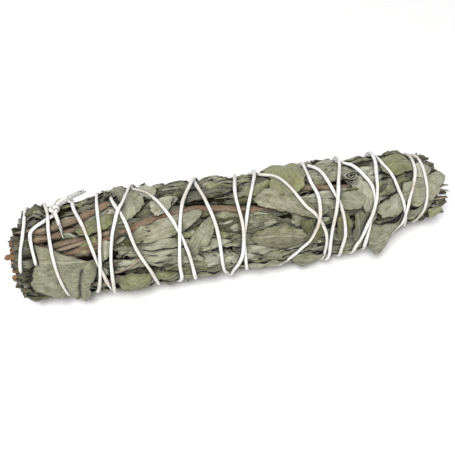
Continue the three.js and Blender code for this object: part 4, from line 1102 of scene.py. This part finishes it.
# %% [markdown]
# ## Stems
# A stem is a tube along a smooth curve, with its squareness, its ribs and the joints where
# each pair of leaves grew in its radius. More short ones are packed into the cut end.

# %% Stem routes
STEMS = [
    # radius, (x, deg, depth of the stem's outside under the skin)
    (2.15, [(-100, 4, 3), (-90, 3, 0.8), (-79, 0, 0.2), (-63, -12, 0.2), (-53, -22, 0.5), (-38, -34, 8)]),
    (1.85, [(-101, 11, 2.0), (-91, 14, 0.5), (-80, 14, 0.2), (-69, 11, 0.5), (-56, 7, 5), (-30, 2, 9)]),
    (1.5, [(-102, 31, 4.2), (-91, 30, 1.6), (-80, 26, 0.4), (-68, 22, 0.6), (-52, 14, 5), (-26, 22, 9)]),
    (1.8, [(-101.5, 47, 3.6), (-90, 44, 2.4), (-74, 38, 0.3), (-60, 30, 0.2), (-45, 18, 0.2), (-29, 9, 0.2),
           (-13, 8, 0.3), (5, 16, 0.3), (15, 19, 1), (34, 24, 6)]),
    (1.5, [(-103.5, 82, 4), (-90, 90, 3.2), (-72, 92, 2.4), (-60, 84, 0.5), (-52, 80, 1.5), (-34, 76, 6)]),
    (1.4, [(8, -12, 7), (26, -6, 4), (36, -1, 0.6), (48, 4, 0.4), (60, 7, 1.6), (76, 12, 6)]),
]
SIDE_STEMS = [
    # radius, whether the bark is stripped, route; broken ones that lie between the others
    (1.7, False, [(-86, 47, 3), (-74, 41, 0.7), (-67, 38, 0.4), (-60, 35, 0.8), (-50, 31, 4)]),
    (1.2, False, [(-92, 38, 3), (-79, 32, 0.7), (-70, 28, 0.6), (-60, 24, 1.6), (-50, 19, 4)]),
    (1.35, False, [(-70, 25, 2.4), (-61, 22, 0.5), (-55, 20, 0.5), (-47, 15, 0.9), (-38, 10, 4)]),
    (1.1, False, [(-99.5, -4, 1.5), (-93, -2, 0.4), (-84, 1, 1.2), (-76, 5, 4)]),
    (1.35, True, [(-101, 17, 1.2), (-95, 18, 1.0), (-86, 20, 3)]),
    (1.2, True, [(-101.5, 24, 1.6), (-94, 24, 1.6), (-84, 25, 3.4)]),
    (1.3, True, [(-104, 32, 1.6), (-98, 32, 0.9), (-88, 31, 3)]),
    (1.1, False, [(-102, 41, 2.5), (-95, 41, 2), (-86, 42, 4)]),
    (1.1, True, [(-102, 56, 2.5), (-95, 57, 2), (-86, 60, 4)]),
    (1.2, True, [(-102, 6, 3.4), (-95, 7, 3), (-86, 8, 4.6)]),
    (1.1, True, [(-102.5, 70, 2.5), (-95, 71, 2.4), (-86, 73, 4)]),
    (0.7, False, [(-62, 70, 1.5), (-52, 64, 0.2), (-44, 55, 0.2), (-38, 50, 1.6)]),
]
print(len(STEMS), "stems that show, and", len(SIDE_STEMS), "short or broken ones")

# %% Tubes
def length_along(line):
    """The line's length from its start to each of its points."""
    return np.concatenate([[0], np.cumsum(np.linalg.norm(np.diff(line, axis=0), axis=1))])[:, None]


def tube(line, out, radius):
    """Rings round a line: radius (n, m) in the plane of out and of the line's own direction
    crossed with it. Returns points (n, m, 3)."""
    way = unit(np.gradient(line, axis=0))
    out = unit(out - way * (out * way).sum(1, keepdims=True))
    side = np.cross(way, out)
    angle = np.linspace(0, 2 * np.pi, radius.shape[1], endpoint=False)[None, :, None]
    around = np.cos(angle) * out[:, None] + np.sin(angle) * side[:, None]
    return line[:, None] + radius[..., None] * around


print("along a line of one 10 mm step:", length_along(np.array([[0.0, 0, 0], [6, 0, 8]])).ravel())

# %% Stem mesh
ALONG, SIDES = 90, 14  # rings of a stem and points on each
JOINT_STEP = 21  # mm between the joints where pairs of leaves grew
STEM_DENT = DENT * 0.6  # stems give way less than leaves


def stem_faces():
    """The wall's quads, then each end: quads from its ring to one of half its size, and
    triangles from there to the middle point. Points: all rings, the half rings, the middles."""
    walls, _, _ = ring_faces(ALONG, SIDES)
    rings, ring = ALONG * SIDES, np.arange(SIDES)
    first, last, half_a, half_b = ring, rings - SIDES + ring, rings + ring, rings + SIDES + ring
    middle_a, middle_b = np.full(SIDES, rings + 2 * SIDES), np.full(SIDES, rings + 2 * SIDES + 1)
    near = np.stack([first, half_a, np.roll(half_a, -1), np.roll(first, -1)], 1)
    far = np.stack([last, np.roll(last, -1), np.roll(half_b, -1), half_b], 1)
    near_middle = np.stack([half_a, middle_a, np.roll(half_a, -1)], 1)
    far_middle = np.stack([half_b, np.roll(half_b, -1), middle_b], 1)
    return [walls, near, far, near_middle, far_middle]


def stem_piece(name, route, thick, rng, nodes=(), stripped=False):
    """A tube of radius thick along the route: a rounded square that twists, with seven ribs, 18%
    thicker at each joint, and a slow wave along it. Its ends are torn: the points of their
    rings go up to half a radius forwards and back."""
    x, deg, depth = curve_through(route, ALONG).T
    line = place(x, deg, pressed_skin(x, deg, STEM_DENT) - depth - thick)
    a = np.linspace(0, 2 * np.pi, SIDES, endpoint=False)[None]
    gone = length_along(line)
    twist = rng.uniform(0, 1.5) + gone / 60
    to_joint = (gone + rng.uniform(0, JOINT_STEP)) % JOINT_STEP - JOINT_STEP / 2
    square, ribs = 0.07 * np.cos(4 * (a + twist)), 0.04 * np.sin(7 * a + gone / 5)
    joint = 0.18 * np.exp(-((to_joint / 1.3) ** 2))
    rings = tube(line, radial(deg), thick * (1 + square + ribs + joint + 0.04 * np.sin(gone / 3.3)))
    rings[[0, -1]] += 0.5 * thick * rng.uniform(-1, 1, (2, SIDES, 1)) * [1, 0, 0]
    half_rings = [0.5 * (rings[i] + line[i]) + rng.uniform(-0.12, 0.12, 3) for i in (0, -1)]
    points = np.concatenate([rings.reshape(-1, 3), *half_rings, line[:1], line[-1:]])
    # u is tens of mm along the stem, v goes from 1 to 0 and back round it; on a cut end v is
    # the distance from the pith
    uv = np.stack(np.broadcast_arrays(gone / 10, np.abs(a / np.pi - 1)), -1).reshape(-1, 2)
    uv = np.concatenate([uv, np.tile([0, 0.5], (2 * SIDES, 1)), np.zeros((2, 2))])
    faces = stem_faces()
    which = np.concatenate([np.full(len(faces[0]), stripped), np.ones(4 * SIDES)])
    tone = np.full(len(points), rng.uniform(-0.12, 0.2))
    piece(name, points, faces, [BARK, CUT_WOOD], uv, tone, None, which, nodes)


def cad_ends(node):
    """The x at which a CAD node's box starts and ends, in the millimetres of the routes."""
    low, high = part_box(node)
    return low.x * 1000 + MIDDLE, high.x * 1000 + MIDDLE


print(sum(len(f) for f in stem_faces()), "faces a stem")

# %% Stem pieces
BACK_STEMS, BACK_RADIUS = range(7, 14), 1.5  # numbers of those round the back
INSIDE_STEMS, INSIDE_RADIUS = range(14, 18), 1.65  # and of those between the sprigs
CENTRE_RADIUS = 1.7
routes = [(i + 1, thick, route) for i, (thick, route) in enumerate(STEMS)]
for i, number in enumerate(BACK_STEMS):
    deg, (start, end) = 116 + 31 * i, cad_ends("stem_" + two(number))
    start = start + 0.8 * bell(deg, *CUT_INSET)
    route = [(start, deg + 4, 4), (-88, deg, 2.4), (-70, deg - 3, 3.4), (end, deg - 8, 8.5)]
    routes.append((number, BACK_RADIUS, route))
for i, number in enumerate(INSIDE_STEMS):
    deg, (start, end) = 40 + 90 * i, cad_ends("stem_" + two(number))
    routes.append((number, INSIDE_RADIUS, [(start, deg, 9.6), (-70, deg + 3, 12), (end, deg + 4, 12.6)]))
rng = np.random.default_rng(41)
for number, thick, route in routes:
    stem_piece("stem_" + two(number) + "_bark", route, thick, rng, ["stem_" + two(number)])
for i, (thick, stripped, route) in enumerate(SIDE_STEMS):
    stem_piece("side_stem_" + two(i + 1), route, thick, rng, stripped=stripped)
through = [(x, 0, skin(x, 0) - CENTRE_RADIUS) for x in (-102, -60, 0, 62)]
stem_piece("centre_stem_bark", through, CENTRE_RADIUS, rng, ["centre_stem"])
print(len(routes) + len(SIDE_STEMS) + 1, "stems")

# %% [markdown]
# ## Cotton string
# Kitchen string is three plies of cotton twisted together, matt and slightly hairy. Its way
# is the one above. Where a later turn crosses an earlier one it climbs over it. The plies
# are in the tube's radius: three rounded ridges that turn once every 5 mm.

# %% Cotton material
COTTON, cotton_tree, cotton_shader = material("twisted_cotton", roughness=0.9, specular=0.15, sheen=0.3)
cotton_here = add(cotton_tree, "TexCoord", out="Object")
# fibres are 0.02 mm thick; they are drawn as 0.5 mm tufts, the finest that shows
fuzz = add(cotton_tree, "TexNoise", {"Vector": cotton_here, "Scale": 1900, "Detail": 3})
# darker and browner in random patches about 17 mm long
cotton_patch = add(cotton_tree, "TexNoise", {"Vector": cotton_here, "Scale": 60, "Detail": 2})
cotton_level = add(cotton_tree, "Math", {0: fuzz, 1: 0.5, 2: cotton_patch}, SUM)
cotton_shades = [(0.5, "c8bba4"), (0.64, "e4dfd6"), (0.9, "fbfaf7")]
cotton_colour = add(cotton_tree, "ValToRGB", {0: cotton_level}, stops=cotton_shades)
finish_surface(cotton_tree, cotton_shader, cotton_colour, fuzz, depth_mm=0.35, crevice=0.0015)
print(COTTON.name, "has", len(cotton_tree.nodes), "nodes")

# %% String mesh
RIDE = -0.7  # the string's middle over the undented skin, in mm
LIFT = 1.15  # mm that a turn rises where it crosses an earlier one
BURY_DEPTH = 2.2  # mm that it lies deeper under the leaves of the cut end
PLY_PITCH = 5.0  # mm in which the plies turn once


def lifts(deg, x):
    """LIFT where a point lies within 0.8 mm of a turn at least half a turn before it, falling
    smoothly to 0 at 5 mm. The points are worked out block by block, each against all before."""
    up = np.zeros(len(deg))
    apart, block = int(180 / WAY_STEP), 90
    for i in range(apart, len(deg), block):
        late, early = slice(i, min(i + block, len(deg))), slice(0, i - apart + block)
        dx = x[late, None] - x[None, early]
        dd = deg[late, None] - deg[None, early]
        near = (1 - smooth(np.hypot(dx, arc(turned(dd, 0))), 0.8, 5)) * (dd > 180)
        up[late] = np.maximum(up[late], LIFT * near.max(1))
    return up


def plied(line, out, radius, sides=12):
    """A three-ply tube: radius times 0.84 to 1.02, highest on three ridges that turn with length,
    and slack or tight by a tenth over 40 and 14 mm."""
    gone = length_along(line)
    a = np.linspace(0, 2 * np.pi, sides, endpoint=False)[None]
    ridge = np.abs(np.cos(1.5 * (a - 2 * np.pi * gone / PLY_PITCH)))
    slack = 1 + 0.07 * np.sin(gone / 6.4) + 0.05 * np.sin(gone / 2.3 + 1)
    return tube(line, out, radius * (0.84 + 0.18 * ridge) * slack)


def string_line(deg, x, up):
    """Points over the skin. On the lower side the radius is held to what leaves the string 0.1 mm
    over the surface that the bunch lies on: that height over the cosine of the angle below."""
    ride = skin(x, deg) + RIDE + up
    down = -np.cos(np.radians(deg))
    lowest = (AXIS_HEIGHT - STRING_RADIUS - 0.1) / np.maximum(down, 0.2)
    return place(x, deg, np.where(down > 0.2, np.minimum(ride, lowest), ride))


FINE_STEP = 1.5
fine_deg, fine_x = string_way(FINE_STEP)
fine_up = np.interp(fine_deg, way_deg, lifts(way_deg, way_x)) - BURY_DEPTH * buried(fine_deg)
line = string_line(fine_deg, fine_x, fine_up)
winding = plied(line, radial(fine_deg), STRING_RADIUS)
print(len(line), "rings along", round(float(length_along(line)[-1, 0])), "mm of string")

# %% [markdown]
# ## Knot and frayed ends
# The string is tied near the cut end, and its two ends have come untwisted. A curve drawn by
# hand through a real knot takes dozens of points. A trefoil, the simplest closed knot, is one
# formula and looks the same at this size. A frayed end is a fan of thin strands.

# %% Knot
KNOT_X, KNOT_DEG = -79.5, -20.0
KNOT_HEIGHT = 1.3  # mm from the skin to the knot's middle
KNOT_SIZE = 0.62  # mm, a third of the reach of its loops
LEAN = (0.94, 0.35)  # cosine and sine of the 20 degrees that the knot and its ends lean back


def by_knot(dx, ddeg, up):
    """The point dx mm along, ddeg degrees round and up mm over the skin at the knot."""
    radius = skin(KNOT_X, KNOT_DEG) + up
    return place(np.float64(KNOT_X + dx), np.float64(KNOT_DEG + ddeg), radius)


def strand(points, radius, count, sides=8):
    """A plied tube along the smooth curve through a few points."""
    out = np.tile([0.0, LEAN[1], LEAN[0]], (count, 1))
    return plied(curve_through(points, count), out, np.full((count, 1), radius), sides)


def knot_line(count):
    """A trefoil: (sin t + 2 sin 2t, cos t - 2 cos 2t, -1.4 sin 3t), leaning back with the skin."""
    t = np.linspace(0, 2 * np.pi, count + 1)[:-1]
    flat = np.stack([np.sin(t) + 2 * np.sin(2 * t), np.cos(t) - 2 * np.cos(2 * t), -1.4 * np.sin(3 * t)], 1)
    lean = np.array([[1, 0, 0], [0, LEAN[0], LEAN[1]], [0, -LEAN[1], LEAN[0]]])
    return by_knot(0, 0, KNOT_HEIGHT) + flat * KNOT_SIZE @ lean


loops = knot_line(59)
short_end = [by_knot(0, 0, 1.3), by_knot(0.8, 10, 1.3), by_knot(1.5, 17, 1.1), by_knot(1.9, 23, 0.8)]
long_end = [by_knot(1 + 5 * s, -8 - 9 * s, 1.7 + 1.6 * s) for s in (0, 0.5, 1)]
parts = [winding, plied(loops, np.tile([0.05, 0.3, 0.95], (len(loops), 1)), STRING_RADIUS, sides=8)]
parts += [strand(short_end, STRING_RADIUS, 24), strand(long_end, 1.0, 16)]
print("the knot is", np.round(np.ptp(loops, axis=0), 1), "mm large between its middle lines")

# %% Frayed ends
FIBRE_RADIUS = 0.19  # mm; a tuft of fibres, the finest that shows
FRAYED = [  # where the fibres start and end, as dx, ddeg and up, and how many there are
    ((2, -8, 1.7), (14, -32, 3.4), 60),
    ((1.6, 20, 1.0), (3.2, 34, 0.9), 16),
]


def fibre(start, end, s, spread, rise):
    """A point the share s along a fibre of an untwisted end, which fans out as it goes."""
    dx, ddeg, up = (np.array(start) * (1 - s) + np.array(end) * s).tolist()
    return by_knot(dx, ddeg + spread * (2.5 + 3.5 * s), up + rise * (0.5 + 0.5 * s) + 1.2 * s * (1 - s))


rng = np.random.default_rng(5)
for start, end, count in FRAYED:
    for spread, rise, far, near in rng.uniform((-1, -1, 0.6, 0), (1, 1, 1.08, 0.4), (count, 4)):
        way = [fibre(start, end, near + (far - near) * q, spread, rise) for q in (0, 0.35, 0.7, 1)]
        parts.append(strand(way, FIBRE_RADIUS, 10, sides=4))
print(len(parts), "parts of the string")

# %% String piece
points, faces, base = [], [], 0
for rings in parts:
    walls, cap_a, cap_b = ring_faces(*rings.shape[:2])
    points.append(rings.reshape(-1, 3))
    faces += [walls + base, cap_a + base, cap_b + base]
    base += rings.shape[0] * rings.shape[1]
everything = np.concatenate(points)
everything[:, 2] = np.maximum(everything[:, 2], OFF_FLOOR)
piece("cotton_string", everything, faces, [COTTON], nodes=["tie_string"])
print("string:", sum(len(f) for f in faces), "faces")

# %% [markdown]
# ## Floor, light and camera
# The bunch lies on a plain pale sheet under a wide soft light. The camera looks down on it
# at 60 degrees, a little from the cut end.

# %% Floor
FLOOR_HALF = 2.0  # metres
floor_mesh = bpy.data.meshes.new("floor")
sides = (-FLOOR_HALF, FLOOR_HALF)
floor_mesh.from_pydata([(x, y, 0) for y in sides for x in sides], [], [(0, 1, 3, 2)])
floor = bpy.data.objects.new("floor", floor_mesh)
bpy.context.scene.collection.objects.link(floor)
# smooth white paper, matt, so that only the bunch's soft shadow shows on it; its grain is drawn
# 1 mm coarse
PAPER, paper_tree, paper_shader = material("white_paper_sweep", roughness=0.9, specular=0.2)
paper_here = add(paper_tree, "TexCoord", out="Object")
paper_noise = add(paper_tree, "TexNoise", {"Vector": paper_here, "Scale": 900, "Detail": 2})
paper_colour = add(paper_tree, "ValToRGB", {0: paper_noise}, stops=[(0.3, "f6f6f5"), (0.7, "fafafa")])
paper_tree.links.new(paper_colour, paper_shader.inputs["Base Color"])
floor_mesh.materials.append(PAPER)
print("floor", 2 * FLOOR_HALF, "m wide")

# %% Light
ROOM_STRENGTH = 0.42
world = bpy.data.worlds.new("soft_room")
world.use_nodes = True
world.node_tree.nodes["Background"].inputs["Color"].default_value = (1, 1, 1, 1)
world.node_tree.nodes["Background"].inputs["Strength"].default_value = ROOM_STRENGTH
bpy.context.scene.world = world
bpy.context.scene.view_settings.view_transform = "Standard"


def soft_light(name, place_m, size, power, aim=(0, 0, 0.02)):
    """A round lamp of that size in metres and power in watts, turned towards aim."""
    lamp = bpy.data.lights.new(name, "AREA")
    lamp.shape, lamp.size, lamp.energy = "DISK", size, power
    holder = bpy.data.objects.new(name, lamp)
    holder.location = place_m
    holder.rotation_euler = (Vector(aim) - Vector(place_m)).to_track_quat("-Z", "Y").to_euler()
    bpy.context.scene.collection.objects.link(holder)


soft_light("overhead", (-0.14, -0.34, 0.92), 0.3, 8.8)
print("a room light and", len(bpy.data.lights), "lamp")

# %% Camera
PICTURE_WIDE = 455  # pixels
FOCAL_LENGTH = 820  # pixels
SHIFT = (0.5, -4.0)  # pixels by which the bunch's middle is off the picture's
SENSOR = 36.0  # mm
elevation, azimuth, distance = math.radians(60), math.radians(-9.7), 0.400
level = math.cos(elevation)
back = Vector((math.sin(azimuth) * level, -math.cos(azimuth) * level, math.sin(elevation)))
lens = bpy.data.cameras.new("camera")
lens.sensor_width, lens.lens = SENSOR, SENSOR * FOCAL_LENGTH / PICTURE_WIDE
lens.shift_x, lens.shift_y = SHIFT[0] / PICTURE_WIDE, SHIFT[1] / PICTURE_WIDE
camera = bpy.data.objects.new("camera", lens)
camera.location = Vector((-MIDDLE / 1000, 0, MEAN_RADIUS / 1000)) + back * distance
camera.rotation_euler = (-back).to_track_quat("-Z", "Y").to_euler()
bpy.context.scene.collection.objects.link(camera)
bpy.context.scene.camera = camera
print("camera at", [round(1000 * v) for v in camera.location], "mm")
